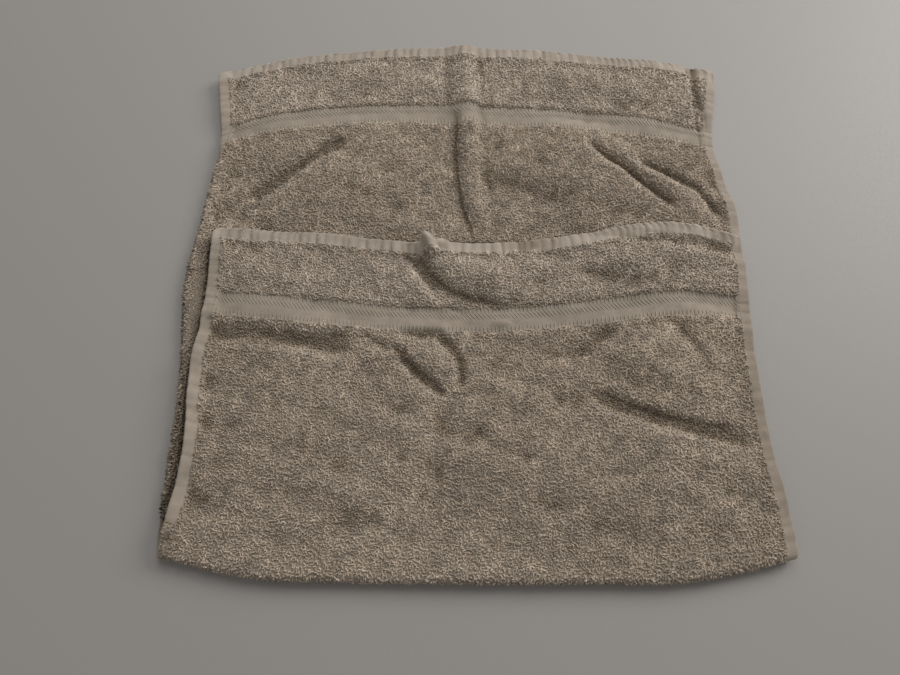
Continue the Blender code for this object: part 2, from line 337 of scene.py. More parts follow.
@dataclass(frozen=True)
class Lie:
    """How the towel is folded, laid and rumpled. Plan places count from the fold's nearest point."""

    fold_gap: float = 0.0034
    layer_gap: float = 0.0014
    gap_run: float = 0.035
    corner_radius: float = 0.005
    pressed_to: float = 0.205
    free_from: float = 0.248
    lower_shown: float = 0.200
    lower_fades: float = 0.006  # how far past what shows the loops give way to the plain surface
    turn_fades: float = 0.003  # the same where the fold begins
    drift_reach: float = 0.11
    fold_edge: Pairs = (
        (0.0, 0.016), (0.08, 0.008), (0.16, 0.0025), (0.3, 0.0005),
        (0.67, -0.0005), (0.84, 0.001), (1.0, 0.014),
    )
    drift: Pairs = ((0.0, -0.001), (0.2, 0.003), (0.6, 0.0), (0.85, -0.002), (1.0, -0.008))
    lower: LayerPlan = LayerPlan(
        run=0.435,
        strip_laid=0.060,
        end=(
            (0.0, 0.397), (0.07, 0.408), (0.22, 0.4185), (0.45, 0.4255),
            (0.61, 0.424), (0.8, 0.4165), (1.0, 0.4035),
        ),
        left=(
            (0.0, -0.203), (0.05, -0.2025), (0.14, -0.2025), (0.21, -0.2085),
            (0.26, -0.203), (0.33, -0.197), (0.40, -0.206),
        ),
        right=(
            (0.0, 0.205), (0.06, 0.199), (0.19, 0.198), (0.255, 0.204),
            (0.29, 0.200), (0.33, 0.194), (0.40, 0.204),
        ),
    )
    upper: LayerPlan = LayerPlan(
        run=0.245,
        strip_laid=0.053,
        end=(
            (0.0, 0.2505), (0.19, 0.2455), (0.36, 0.239), (0.55, 0.238),
            (0.72, 0.2465), (0.87, 0.2545), (1.0, 0.2455),
        ),
        left=(
            (0.0, -0.203), (0.035, -0.197), (0.08, -0.191),
            (0.14, -0.1935), (0.18, -0.1905), (0.25, -0.1915),
        ),
        right=((0.0, 0.205), (0.045, 0.204), (0.08, 0.200), (0.15, 0.198), (0.20, 0.201), (0.25, 0.202)),
    )
    lower_relief: tuple[Mound | Crease, ...] = (
        Mound((-0.105, 0.305), (0.115, 0.085), 0.0056),
        Mound((-0.165, 0.335), (0.055, 0.045), 0.0024),
        Mound((0.055, 0.315), (0.090, 0.055), 0.0030),
        Mound((0.125, 0.300), (0.110, 0.080), 0.0054),
        Mound((0.160, 0.262), (0.080, 0.045), 0.0020),
        Mound((-0.070, 0.395), (0.110, 0.030), 0.0022),
        Mound((0.090, 0.392), (0.090, 0.030), 0.0022),
        Crease(((-0.006, 0.434), (-0.002, 0.382), (0.0, 0.342), (0.0, 0.300), (0.006, 0.250)), 0.015, 0.0056),
        Crease(((-0.012, 0.356), (-0.013, 0.310), (-0.010, 0.276), (-0.001, 0.240)), 0.008, -0.0062),
        Crease(
            ((-0.098, 0.332), (-0.111, 0.325), (-0.125, 0.314), (-0.141, 0.300), (-0.180, 0.262)),
            0.009, -0.0050,
        ),
        Crease(((-0.120, 0.328), (-0.100, 0.332)), 0.016, -0.0034),
        Crease(((0.118, 0.325), (0.140, 0.298), (0.169, 0.271), (0.182, 0.255)), 0.010, 0.0022),
        Crease(
            ((0.096, 0.328), (0.109, 0.315), (0.123, 0.304), (0.139, 0.288), (0.155, 0.272)),
            0.0068, -0.0060, 0.2,
        ),
        Crease(((0.134, 0.309), (0.158, 0.298), (0.176, 0.287), (0.189, 0.266)), 0.0072, -0.0052),
        Mound((0.168, 0.385), (0.060, 0.050), 0.0048),
        Crease(((0.184, 0.400), (0.186, 0.375), (0.187, 0.345)), 0.006, -0.0056, end_depth=0.7),
        Crease(((0.180, 0.420), (0.184, 0.398)), 0.005, -0.0040, end_depth=0.8),
        Crease(((0.024, 0.284), (0.069, 0.282)), 0.018, -0.0024),
        Crease(((-0.203, 0.345), (-0.203, 0.396)), 0.014, 0.0052, end_depth=0.6),
    )
    upper_relief: tuple[Mound | Crease, ...] = (
        Mound((0.015, 0.212), (0.055, 0.030), 0.0050),
        Mound((-0.035, 0.215), (0.070, 0.040), 0.0042),
        Mound((-0.130, 0.205), (0.090, 0.055), 0.0036),
        Mound((0.130, 0.222), (0.090, 0.034), 0.0040),
        Mound((-0.120, 0.095), (0.095, 0.085), 0.0048),
        Mound((-0.135, 0.168), (0.105, 0.036), 0.0036),
        Mound((0.010, 0.085), (0.095, 0.080), 0.0036),
        Mound((-0.035, 0.150), (0.065, 0.042), 0.0042),
        Mound((0.135, 0.140), (0.090, 0.055), 0.0056),
        Mound((0.125, 0.070), (0.095, 0.065), 0.0050),
        Mound((-0.031, 0.147), (0.018, 0.014), 0.0026),
        Crease(
            ((-0.045, 0.231), (-0.032, 0.212), (-0.018, 0.197), (0.002, 0.187), (0.034, 0.183)),
            0.011, -0.0062, 0.6,
        ),
        Crease(((0.040, 0.196), (0.080, 0.208), (0.122, 0.211), (0.162, 0.219)), 0.016, -0.0030),
        Crease(
            ((-0.050, 0.153), (-0.046, 0.146), (-0.038, 0.138), (-0.029, 0.130), (-0.022, 0.124)),
            0.0065, -0.0062,
        ),
        Crease(
            ((-0.049, 0.166), (-0.023, 0.165), (-0.014, 0.155), (-0.008, 0.144), (-0.007, 0.130)),
            0.0065, -0.0050,
        ),
        Crease(((-0.100, 0.164), (-0.072, 0.161), (-0.050, 0.153)), 0.008, -0.0034),
        Crease(
            ((0.086, 0.122), (0.099, 0.115), (0.122, 0.106), (0.152, 0.098), (0.190, 0.091)),
            0.009, -0.0064,
        ),
        Crease(((0.072, 0.153), (0.099, 0.168)), 0.009, -0.0030),
        Crease(((0.149, 0.176), (0.155, 0.160), (0.162, 0.143)), 0.012, -0.0022),
        Crease(
            ((-0.188, 0.170), (-0.150, 0.166), (-0.120, 0.161), (-0.078, 0.157)),
            0.012, -0.0044, end_depth=0.6,
        ),
        Crease(
            ((-0.200, 0.028), (-0.195, 0.100), (-0.194, 0.160), (-0.191, 0.236)),
            0.016, 0.0036, end_depth=0.5,
        ),
        Crease(((-0.020, 0.116), (-0.026, 0.070), (-0.031, 0.014)), 0.013, -0.0028),
        Crease(((0.020, 0.198), (0.024, 0.172)), 0.012, 0.0024),
        Crease(((0.094, 0.247), (0.150, 0.240), (0.196, 0.232)), 0.007, -0.0022),
        Crease(((0.176, 0.253), (0.194, 0.246)), 0.005, -0.0036, end_depth=0.7),
        Crease(((0.1865, 0.184), (0.1890, 0.168)), 0.0032, -0.0036, end_depth=0.7),
    )
    tuck: tuple[Crease, ...] = (
        Crease(((-0.040, 0.258), (-0.0335, 0.243), (-0.0270, 0.229)), 0.0054, 0.0100, end_depth=0.8),
        Crease(((-0.0300, 0.234), (-0.0190, 0.236)), 0.0046, 0.0046, end_depth=0.8),
    )
    tuck_lean: float = 0.30
    tuck_to: float = 0.009
    tuck_from: float = 0.0175
    waves: Ripples = Ripples(0.024, 0.070, 0.00055, seed=11)
    ripples: Ripples = Ripples(0.009, 0.022, 0.00014, seed=12, count=30)
    end_puckers: Puckers = Puckers(0.410, 0.0040, 0.0085, 0.0013, seed=21)
    side_puckers: Puckers = Puckers(0.690, 0.0045, 0.010, 0.0008, seed=22)
    pucker_shift: float = 0.003  # by which the two ends' puckers differ in place
    scallop: float = 0.5  # share of an end pucker's depth that also draws in the edge
    curl: SideCurl = SideCurl(0.0100, (0.020, 0.045), (0.300, 0.345))
    slot: PaintedSlotShadow = PaintedSlotShadow()

    def relief(self, features: tuple[Mound | Crease, ...], x: Array, y: Array) -> Array:
        """Height of a layer's mounds and creases, never below what the layer lies on."""
        return np.maximum(sum(feature.at(x, y) for feature in features), 0.0)

    def lower_lift(self, x: Array, y: Array) -> Array:
        """Height of the lower layer's underside above the surface."""
        lift = self.relief(self.lower_relief, x, y) * ease(y, self.pressed_to, self.free_from)
        return lift + self.curl.lift(np.abs(x - through(self.lower.left, y)), y)

    def upper_lift(self, x: Array, y: Array, fold_y: Array, terry: float) -> Array:
        """Height of the upper layer's underside above the surface."""
        settle = ease(y - fold_y, 0.0, self.gap_run)
        gap = self.layer_gap + (self.fold_gap - self.layer_gap) * (1.0 - settle)
        rumples = (self.relief(self.upper_relief, x, y) + self.waves.height + self.waves.at(x, y)) * settle
        return self.lower_lift(x, y) + terry + gap + rumples


@dataclass(frozen=True)
class PileEdgeShade:
    """Painted shade along the line where the pile stops at a border."""

    place: float = 0.0004
    half_width: float = 0.0016
    depth: float = 0.8


class LaidTowel:
    """The cloth's middle surface in its folds, as a grid of places over the flat cloth."""

    def __init__(self, cloth: FlatCloth, lie: Lie) -> None:
        """Work out the grid.

        Args:
            cloth: the flat cloth.
            lie: how it is folded and laid.
        """
        self.cloth = cloth
        self.lie = lie
        self.grid = GridSteps()
        self.turn_radius = (lie.fold_gap + cloth.terry) / 2.0
        self.turn_reach = self.turn_radius + cloth.terry / 2.0
        self.columns = self._columns()
        self.rows = self._rows()
        self.along, self.across = np.meshgrid(self.rows, self.columns, indexing="ij")
        self.middle = self._middle()
        self.normal = self._normals(self.middle)

    def _columns(self) -> Array:
        """Places across the cloth, closer in its side hems."""
        width, inner = self.cloth.width, self.cloth.side_hem + 3.0 * self.cloth.step
        edge = steps(0.0, inner, self.grid.hem_column)
        main = steps(inner, width - inner, self.grid.column)
        return np.array([*edge, *main, width - inner, *(width - p for p in reversed(edge))])

    def _end_rows(self, shown: float, run: float) -> list[float]:
        """Distances from one end, closer in its hem and border, and wide apart past what shows."""
        cloth, grid = self.cloth, self.grid
        hem, border_end = cloth.end_hem + cloth.step, cloth.strip + cloth.border
        places = steps(0.0, hem, grid.woven_row) + steps(hem, cloth.strip, grid.strip_row)
        places += steps(cloth.strip, border_end, grid.woven_row) + steps(border_end, shown, grid.shown_row)
        return places + (steps(shown, run, grid.hidden_row) if shown < run else [])

    def _rows(self) -> Array:
        """Places along the cloth, from the far end of the lower layer to the free end."""
        lower, upper, length = self.lie.lower.run, self.lie.upper.run, self.cloth.length
        free = length - upper
        first, last = self._end_rows(self.lie.lower_shown, lower), self._end_rows(upper, upper)
        turn = steps(lower, free, self.grid.fold_row)
        return np.array(first + turn + [free] + [length - p for p in reversed(last)])

    def _plan(self, plan: LayerPlan, across: Array, from_end: Array) -> tuple[Array, Array, Array]:
        """Plan places of a layer.

        Args:
            plan: the layer's outline.
            across: places across the flat cloth.
            from_end: distances from the layer's end.

        Returns:
            x, y and the y of the line where the fold begins.
        """
        cloth, share = self.cloth, across / self.cloth.width
        stops = (0.0, cloth.strip, cloth.strip + cloth.border, plan.run)
        laid = (0.0, plan.strip_laid, plan.strip_laid + cloth.border, plan.run)
        way = np.interp(from_end, stops, laid) / plan.run
        tangent = through(self.lie.fold_edge, share) + self.turn_reach
        drawn = self.lie.end_puckers.at(across, from_end) * (1.0 - ease(from_end, 0.0, cloth.end_hem))
        end = through(plan.end, share) + self.lie.scallop * drawn
        y = end + (tangent - end) * way
        short = np.clip(self.lie.corner_radius - from_end, 0.0, self.lie.corner_radius)
        inset = self.lie.corner_radius - np.sqrt(self.lie.corner_radius**2 - short**2)
        left, right = through(plan.left, y) + inset, through(plan.right, y) - inset
        return left + (right - left) * share, y, tangent

    def _hem_waves(self, across: Array, along: Array) -> Array:
        """Height above zero that the hems' puckers leave between their grooves."""
        cloth, lie = self.cloth, self.lie
        from_end, from_side = cloth.from_end(along), cloth.from_side(across)
        in_end = 1.0 - ease(from_end, cloth.end_hem, cloth.end_hem + 2.0 * cloth.step)
        in_side = (1.0 - ease(from_side, cloth.side_hem, cloth.side_hem + 2.0 * cloth.step)) * (1.0 - in_end)
        shift = lie.pucker_shift * np.sign(along - lie.lower.run)
        ends = lie.end_puckers.depth + lie.end_puckers.at(across + shift, from_end)
        sides = lie.side_puckers.depth + lie.side_puckers.at(along, from_side)
        return ends * in_end + sides * in_side

    def _lower(self) -> Array:
        """Middle surface of the lower layer."""
        rows = self.rows < self.lie.lower.run
        across, along = self.across[rows], self.along[rows]
        x, y, _ = self._plan(self.lie.lower, across, along)
        border_middle = self.cloth.strip + self.cloth.border / 2.0
        y = y + through(self.lie.drift, across / self.cloth.width) * bell(
            (along - border_middle) / self.lie.drift_reach
        )
        lift = self.lie.lower_lift(x, y) + self._hem_waves(across, along)
        small = self.lie.waves.at(x, y) + self.lie.ripples.at(x, y)
        lift = lift + np.maximum(small, -lift) * ease(y, self.lie.pressed_to, self.lie.free_from)
        z = lift + self.cloth.thickness(across, along, self.cloth.terry) / 2.0
        x, z = self._curled(across, x, y, z)
        return np.stack([x, y, z], axis=-1)

    def _curled(self, across: Array, x: Array, y: Array, z: Array) -> tuple[Array, Array]:
        """Curl the left side hem of the lower layer under.

        Args:
            across: places across the flat cloth.
            x: places across the layer as it lies.
            y: places along the layer as it lies.
            z: heights of the middle surface.

        Returns:
            The new x and z.
        """
        curl, edge = self.lie.curl, through(self.lie.lower.left, y)
        inward, drop = curl.bend(across, y)
        blend = curl.amount(y) * (1.0 - ease(across, curl.fades * curl.reach, curl.reach))
        top = self.lie.lower_lift(edge + curl.radius, y) + self.cloth.terry / 2.0
        base = np.where(across < curl.taken, top, z)
        return x + (edge + inward - x) * blend, z + (base - drop - z) * blend

    def _turn(self) -> Array:
        """Middle surface round the fold."""
        lower, upper = self.lie.lower, self.lie.upper
        free = self.cloth.length - upper.run
        rows = (self.rows >= lower.run) & (self.rows <= free)
        across, along = self.across[rows], self.along[rows]
        way = (along - lower.run) / (free - lower.run)
        share = across / self.cloth.width
        angle = (way - 0.5) * math.pi
        centre = through(self.lie.fold_edge, share) + self.turn_reach
        left = through(lower.left, centre) * (1.0 - way) + through(upper.left, centre) * way
        right = through(lower.right, centre) * (1.0 - way) + through(upper.right, centre) * way
        y = centre - self.turn_radius * np.cos(angle)
        z = self.turn_reach + self.turn_radius * np.sin(angle)
        return np.stack([left + (right - left) * share, y, z], axis=-1)

    def _upper(self) -> Array:
        """Middle surface of the upper layer, with the tuck in its hem."""
        cloth, lie = self.cloth, self.lie
        rows = self.rows > cloth.length - lie.upper.run
        across, along = self.across[rows], self.along[rows]
        from_end = cloth.length - along
        x, y, tangent = self._plan(lie.upper, across, from_end)
        lift = lie.upper_lift(x, y, tangent, cloth.terry) + self._hem_waves(across, along)
        lift = lift + lie.ripples.at(x, y) * ease(y - tangent, 0.0, lie.gap_run)
        tuck = sum(fold.at(x, y) for fold in lie.tuck) * (1.0 - ease(from_end, lie.tuck_to, lie.tuck_from))
        z = lift + tuck + cloth.thickness(across, along, cloth.terry) / 2.0
        return np.stack([x - lie.tuck_lean * tuck, y + lie.tuck_lean * tuck, z], axis=-1)

    def _middle(self) -> Array:
        """The whole middle surface, centred in plan as the frame is."""
        points = np.concatenate([self._lower(), self._turn(), self._upper()])
        flat = points.reshape(-1, 3)
        centre = (flat.min(axis=0) + flat.max(axis=0)) / 2.0
        self.shift = np.array([-centre[0], -centre[1], 0.0])
        return points + self.shift

    def _normals(self, points: Array) -> Array:
        """Unit normals that point out of the cloth's outer side."""
        down_rows = np.gradient(points, self.rows, axis=0)
        over_columns = np.gradient(points, self.columns, axis=1)
        normal = np.cross(over_columns, down_rows)
        return normal / np.linalg.norm(normal, axis=-1, keepdims=True)

    @cached_property
    def hollow(self) -> Array:
        """Painted shade: 0 on open cloth, 1 deep in a crease or groove that shows, up to 2 in the slot."""
        height = self.middle[..., 2]
        blurred = height.copy()
        for reach in (2, 4, 6):
            for axis in (0, 1):
                blurred += np.roll(height, reach, axis) + np.roll(height, -reach, axis)
        blurred /= 13.0
        hollow = np.clip((blurred - height - HOLLOW_FROM) / HOLLOW_SPAN, 0.0, 1.0)
        hollow[:BLURRED_EDGE] = hollow[-BLURRED_EDGE:] = 0.0
        hollow[:, :BLURRED_EDGE] = hollow[:, -BLURRED_EDGE:] = 0.0
        free = self.cloth.length - self.lie.upper.run
        turn = (self.rows > self.lie.lower.run - OPEN_BEFORE_FOLD) & (self.rows < free + OPEN_AFTER_FOLD)
        hollow[turn] = 0.0
        # Painted shade in the grooves of the hems' puckers.
        highest = max(self.lie.end_puckers.depth, self.lie.side_puckers.depth)
        groove = 1.0 - self._hem_waves(self.across, self.along) / highest
        hollow = np.maximum(hollow, groove * self.cloth.hem_mask(self.across, self.along))
        # Painted shade along the line where the pile stops at a border.
        line = PileEdgeShade()
        from_loops = self.cloth.from_end(self.along) - self.cloth.strip
        step = bell((from_loops - line.place) / line.half_width)
        hollow = np.maximum(hollow, line.depth * step)
        return np.maximum(hollow, self._painted_slot_shadow())

    def _painted_slot_shadow(self) -> Array:
        """Strength of the painted shadow in the slot beside the upper layer's left edge, 0 away from it."""
        slot = self.lie.slot
        x, y = self.middle[..., 0] - self.shift[0], self.middle[..., 1] - self.shift[1]
        beside = through(self.lie.upper.left, y) - x
        wide = slot.width + slot.extra * (1.0 - ease(y, *slot.extra_fades))
        close = (1.0 - ease(beside, wide, wide + slot.edge)) * (y < slot.stop)
        return slot.depth * close * (self.along < self.lie.lower.run - slot.from_fold)

    def offsets(self) -> tuple[Array, Array]:
        """Distances of the outer and inner surfaces from the middle one.

        Where loops show, the surface is the ground cloth under them. Elsewhere it is at their tips.
        """
        across, along, cloth = self.across, self.along, self.cloth
        shown = cloth.thickness(across, along, cloth.ground_thickness) / 2.0
        hidden = cloth.thickness(across, along, cloth.terry) / 2.0
        lie = self.lie
        outer_shown = ease(along, lie.lower.run, lie.lower.run + lie.turn_fades)
        inner_shown = 1.0 - ease(along, lie.lower_shown, lie.lower_shown + lie.lower_fades)
        outer = hidden + (shown - hidden) * outer_shown
        inner = hidden + (shown - hidden) * inner_shown
        return outer, inner

    def read(self, grid: Array, across: Array, along: Array) -> Array:
        """Value of a grid of this surface between its rows and columns."""
        i = np.clip(np.searchsorted(self.rows, along) - 1, 0, len(self.rows) - 2)
        j = np.clip(np.searchsorted(self.columns, across) - 1, 0, len(self.columns) - 2)
        p = (along - self.rows[i]) / (self.rows[i + 1] - self.rows[i])
        q = (across - self.columns[j]) / (self.columns[j + 1] - self.columns[j])
        if grid.ndim == 3:
            p, q = p[:, None], q[:, None]
        near = grid[i, j] * (1.0 - q) + grid[i, j + 1] * q
        far = grid[i + 1, j] * (1.0 - q) + grid[i + 1, j + 1] * q
        return near * (1.0 - p) + far * p

    def place(self, flat: Array, side: Side) -> Array:
        """Lay flat points on the towel.

        Args:
            flat: rows of (across, along, height above the surface).
            side: the face of the cloth that they stand on.

        Returns:
            Their places in the folded towel.
        """
        across, along, height = flat.T
        outer, inner = self.offsets()
        offset = self.read(outer if side is Side.OUTER else inner, across, along)
        middle = self.read(self.middle, across, along)
        normal = self.read(self.normal, across, along)
        normal /= np.linalg.norm(normal, axis=1, keepdims=True)
        points = middle + normal * (side.value * (offset + height))[:, None]
        points[:, 2] = np.maximum(points[:, 2], 0.0)
        return points


# ---------------------------------------------------------------- node trees


class Tree:
    """Adds nodes to one node tree and joins them."""

    def __init__(self, tree: NodeTree) -> None:
        """Start on an empty tree."""
        self.tree = tree

    def feed(self, target: NodeSocket, value: Feed) -> None:
        """Link a socket to an input, or set the input to a value."""
        if isinstance(value, NodeSocket):
            self.tree.links.new(value, target)
        else:
            target.default_value = value

    def add(self, kind: str, feeds: dict[str | int, Feed] | None = None, **settings) -> Node:
        """Add a node.

        Args:
            kind: the node's type.
            feeds: its inputs by name or number, as values or as sockets to link.
            settings: its properties.

        Returns:
            The node.
        """
        node = self.tree.nodes.new(kind)
        for name, value in settings.items():
            setattr(node, name, value)
        for key, value in (feeds or {}).items():
            self.feed(node.inputs[key], value)
        return node

    def math(self, operation: str, first: Feed, second: Feed = 0.0) -> NodeSocket:
        """Add a Math node and return its output."""
        return self.add("ShaderNodeMath", {0: first, 1: second}, operation=operation).outputs[0]

    def mix(self, factor: Feed, first: Feed, second: Feed, blend: str = "MIX") -> NodeSocket:
        """Add a colour Mix node and return its output."""
        feeds = {0: factor, 6: first, 7: second}
        return self.add("ShaderNodeMix", feeds, data_type="RGBA", blend_type=blend).outputs[2]

    def noise(self, place: Feed, scale: float, detail: float, roughness: float = 0.5) -> NodeSocket:
        """Add a Noise node and return its value."""
        feeds = {"Vector": place, "Scale": scale, "Detail": detail, "Roughness": roughness}
        return self.add("ShaderNodeTexNoise", feeds).outputs[0]

    def object_place(self) -> NodeSocket:
        """Places in the piece's own space."""
        return self.add("ShaderNodeTexCoord").outputs["Object"]

    def attribute(self, name: str) -> NodeSocket:
        """Value of a piece's own attribute."""
        return self.add("ShaderNodeAttribute", attribute_name=name).outputs["Fac"]

    def span(self, value: Feed, low: float, high: float, to_low: float, to_high: float) -> NodeSocket:
        """Add a clamped Map Range node and return its output."""
        feeds = {0: value, 1: low, 2: high, 3: to_low, 4: to_high}
        return self.add("ShaderNodeMapRange", feeds).outputs[0]


class Surface(Tree):
    """A new material with its Principled shader."""

    def __init__(self, name: str) -> None:
        """Make the material."""
        self.material = bpy.data.materials.new(name)
        self.material.use_nodes = True
        super().__init__(self.material.node_tree)
        self.principled = self.tree.nodes["Principled BSDF"]

    def set(self, **values: Feed) -> None:
        """Feed the shader's inputs, named with _ for each space."""
        for name, value in values.items():
            self.feed(self.principled.inputs[name.replace("_", " ")], value)

    def bump(self, height: Feed, strength: float, distance: float) -> None:
        """Raise the surface by a height."""
        feeds = {"Height": height, "Strength": strength, "Distance": distance}
        self.set(Normal=self.add("ShaderNodeBump", feeds).outputs[0])


def opaque(colour: Colour) -> tuple[float, float, float, float]:
    """The colour with full alpha."""
    return (*colour, 1.0)


def socket(tree: NodeTree, name: str, kind: str, value: Feed | None = None, out: bool = False) -> None:
    """Add a named socket to a node group's interface."""
    made = tree.interface.new_socket(name=name, in_out="OUTPUT" if out else "INPUT", socket_type=kind)
    if value is not None:
        made.default_value = value


def cotton_tone_group() -> NodeTree:
    """Node group that all of the towel's cotton shares: soft mottling and broad damp patches."""
    group = bpy.data.node_groups.new("cotton_tone", "ShaderNodeTree")
    socket(group, "Dry", "NodeSocketColor", (0.5, 0.44, 0.36, 1.0))
    socket(group, "Damp", "NodeSocketColor", (0.36, 0.31, 0.25, 1.0))
    socket(group, "Mottle", "NodeSocketFloat", 0.12)
    socket(group, "Shade", "NodeSocketFloat", 0.0)
    socket(group, "Colour", "NodeSocketColor", out=True)
    socket(group, "Wetness", "NodeSocketFloat", out=True)
    tree = Tree(group)
    given = tree.add("NodeGroupInput")
    place = tree.object_place()
    wet = tree.span(tree.noise(place, 13.0, 3.0, 0.55), 0.34, 0.66, 0.0, 1.0)
    speckle = tree.noise(place, 140.0, 3.0, 0.6)
    spread = tree.math("MULTIPLY", tree.math("SUBTRACT", speckle, 0.5), given.outputs["Mottle"])
    level = tree.math("ADD", 1.0, spread)
    # The Shade input darkens: it carries painted shade as well as the cloth's own tones.
    level = tree.math("MULTIPLY", level, tree.math("SUBTRACT", 1.0, given.outputs["Shade"]))
    colour = tree.mix(wet, given.outputs["Dry"], given.outputs["Damp"])
    # Darker places are tinted warmer, as painted light bounced between the yarns.
    depth = tree.span(given.outputs["Shade"], 0.0, 0.7, 0.0, 1.0)
    colour = tree.mix(depth, colour, (1.0, 0.91, 0.77, 1.0), "MULTIPLY")
    scaled = tree.add("ShaderNodeVectorMath", {0: colour, "Scale": level}, operation="SCALE")
    out = tree.add("NodeGroupOutput")
    group.links.new(scaled.outputs[0], out.inputs["Colour"])
    group.links.new(wet, out.inputs["Wetness"])
    return group


@dataclass(frozen=True)
class CottonFinish:
    """The shades and surface that the towel's cotton finishes share."""

    name: str
    dry: Colour
    # The colour of the broad damp patches.
    darkened: Colour
    mottle: float = 0.5
    roughness: float = 0.88
    damp_roughness: float = 0.74
    sheen: float = 0.25
    sheen_roughness: float = 0.5
    specular: float = 0.3

    def shade(self, surface: Surface) -> NodeSocket:
        """How much darker each place is, from 0 to 1. Each finish has its own."""
        raise NotImplementedError

    def relief(self, surface: Surface) -> None:
        """Raise the surface's fine relief. Each finish has its own."""
        raise NotImplementedError

    def build(self, group: NodeTree) -> Material:
        """Make the material.

        Args:
            group: the cotton_tone node group.

        Returns:
            The finished material.
        """
        surface = Surface(self.name)
        surface.set(Sheen_Weight=self.sheen, Sheen_Roughness=self.sheen_roughness)
        surface.set(Specular_IOR_Level=self.specular)
        feeds = {"Dry": opaque(self.dry), "Damp": opaque(self.darkened), "Mottle": self.mottle}
        tone = surface.add("ShaderNodeGroup", node_tree=group)
        for name, value in feeds.items():
            surface.feed(tone.inputs[name], value)
        surface.feed(tone.inputs["Shade"], self.shade(surface))
        rough = surface.span(tone.outputs["Wetness"], 0.0, 1.0, self.roughness, self.damp_roughness)
        surface.set(Base_Color=tone.outputs["Colour"], Roughness=rough)
        self.relief(surface)
        return surface.material


@dataclass(frozen=True)
class LoopYarnFinish(CottonFinish):
    """Soft twisted pile yarn: lighter at the loops' tips, with painted shade down between them."""

    # Painted shade that darkens the loops towards their roots, where shade falls between them.
    painted_root_shade: float = 0.14
    root_reach: float = 0.75
    tone_spread: float = 0.15
    painted_shade_weight: float = 0.42
    fibre: float = 2600.0

    def shade(self, surface: Surface) -> NodeSocket:
        """Painted shade by height on the loop and by the crease it stands in, plus the loop's own tone."""
        root = surface.span(surface.attribute("tip"), 0.0, self.root_reach, self.painted_root_shade, 0.0)
        own = surface.span(surface.attribute("tone"), 0.0, 1.0, -self.tone_spread, self.tone_spread)
        deep = surface.math("MULTIPLY", surface.attribute("hollow"), self.painted_shade_weight)
        return surface.math("ADD", surface.math("ADD", root, own), deep)

    def relief(self, surface: Surface) -> None:
        """Fine fibres."""
        surface.bump(surface.noise(surface.object_place(), self.fibre, 2.0), 0.35, 0.0003)


@dataclass(frozen=True)
class ClothFinish(CottonFinish):
    """The cloth itself: painted shade under the loops, and lighter plain weave in hems and borders."""

    # Painted shade on the ground cloth between and under the loops.
    painted_ground_shade: float = 0.20
    border_shade: float = 0.17
    painted_shade_weight: float = 0.26
    # How much the darker spots darken the cloth; at the hem corners this is painted shade.
    dark_spot_shade: float = 0.34
    pitch: float = 0.00072
    slub: float = 700.0
    weave_share: float = 0.35

    def shade(self, surface: Surface) -> NodeSocket:
        """Painted shade under the loops and in creases, a darker tone in borders, and darker spots."""
        woven = surface.math("MAXIMUM", surface.attribute("hem"), surface.attribute("border"))
        total = surface.span(woven, 0.0, 1.0, self.painted_ground_shade, 0.0)
        shades = (("hollow", self.painted_shade_weight), ("darkened", self.dark_spot_shade), ("border", self.border_shade))
        for name, share in shades:
            total = surface.math("ADD", total, surface.math("MULTIPLY", surface.attribute(name), share))
        return total

    def relief(self, surface: Surface) -> None:
        """Crossing warp and weft with uneven slubs."""
        flat = surface.add("ShaderNodeUVMap", uv_map="flat").outputs[0]
        split = surface.add("ShaderNodeSeparateXYZ", {0: flat})
        number = 2.0 * math.pi / self.pitch
        angles = [surface.math("MULTIPLY", split.outputs[k], number) for k in (0, 1)]
        warp, weft = (surface.math("SINE", angle) for angle in angles)
        weave = surface.math("MULTIPLY", surface.math("MULTIPLY", warp, weft), self.weave_share)
        surface.bump(surface.math("ADD", weave, surface.noise(flat, self.slub, 3.0)), 0.5, 0.0003)


@dataclass(frozen=True)
class ThreadFinish(CottonFinish):
    """Smooth thread of the borders' raised weave and of the hems' stitches."""

    tones: tuple[float, float] = (-0.08, 0.10)
    fibre: float = 3000.0

    def shade(self, surface: Surface) -> NodeSocket:
        """Shade from each thread's own tone."""
        return surface.span(surface.attribute("tone"), 0.0, 1.0, *self.tones)

    def relief(self, surface: Surface) -> None:
        """Fine fibres."""
        surface.bump(surface.noise(surface.object_place(), self.fibre, 2.0), 0.25, 0.0002)


class Finishes:
    """Every finish of the towel, each built once."""

    def __init__(self) -> None:
        """Build the materials."""
        group = cotton_tone_group()
        cloth = ClothFinish("towel_cloth", (0.56, 0.49, 0.415), (0.49, 0.425, 0.355))
        loops = LoopYarnFinish("loop_yarn", (0.690, 0.587, 0.484), (0.590, 0.495, 0.398), mottle=1.4)
        pale = LoopYarnFinish("loop_yarn_pale", (0.790, 0.690, 0.590), (0.69, 0.595, 0.50), mottle=1.2)
        thread = ThreadFinish("woven_thread", (0.450, 0.397, 0.330), (0.40, 0.350, 0.288))
        built = [finish.build(group) for finish in (cloth, loops, pale, thread)]
        self.cloth, self.loops, self.pale, self.thread = built


# ---------------------------------------------------------------- pieces


def new_object(name: str, data: bpy.types.ID) -> Object:
    """Link a mesh, light or camera to the scene as an object at the origin."""
    made = bpy.data.objects.new(name, data)
    bpy.context.scene.collection.objects.link(made)
    return made


def set_values(mesh: Mesh, name: str, values: Array) -> None:
    """Store one number per vertex as the mesh's own attribute."""
    layer = mesh.attributes.get(name) or mesh.attributes.new(name, "FLOAT", "POINT")
    layer.data.foreach_set("value", np.asarray(values, dtype=np.float32).ravel())


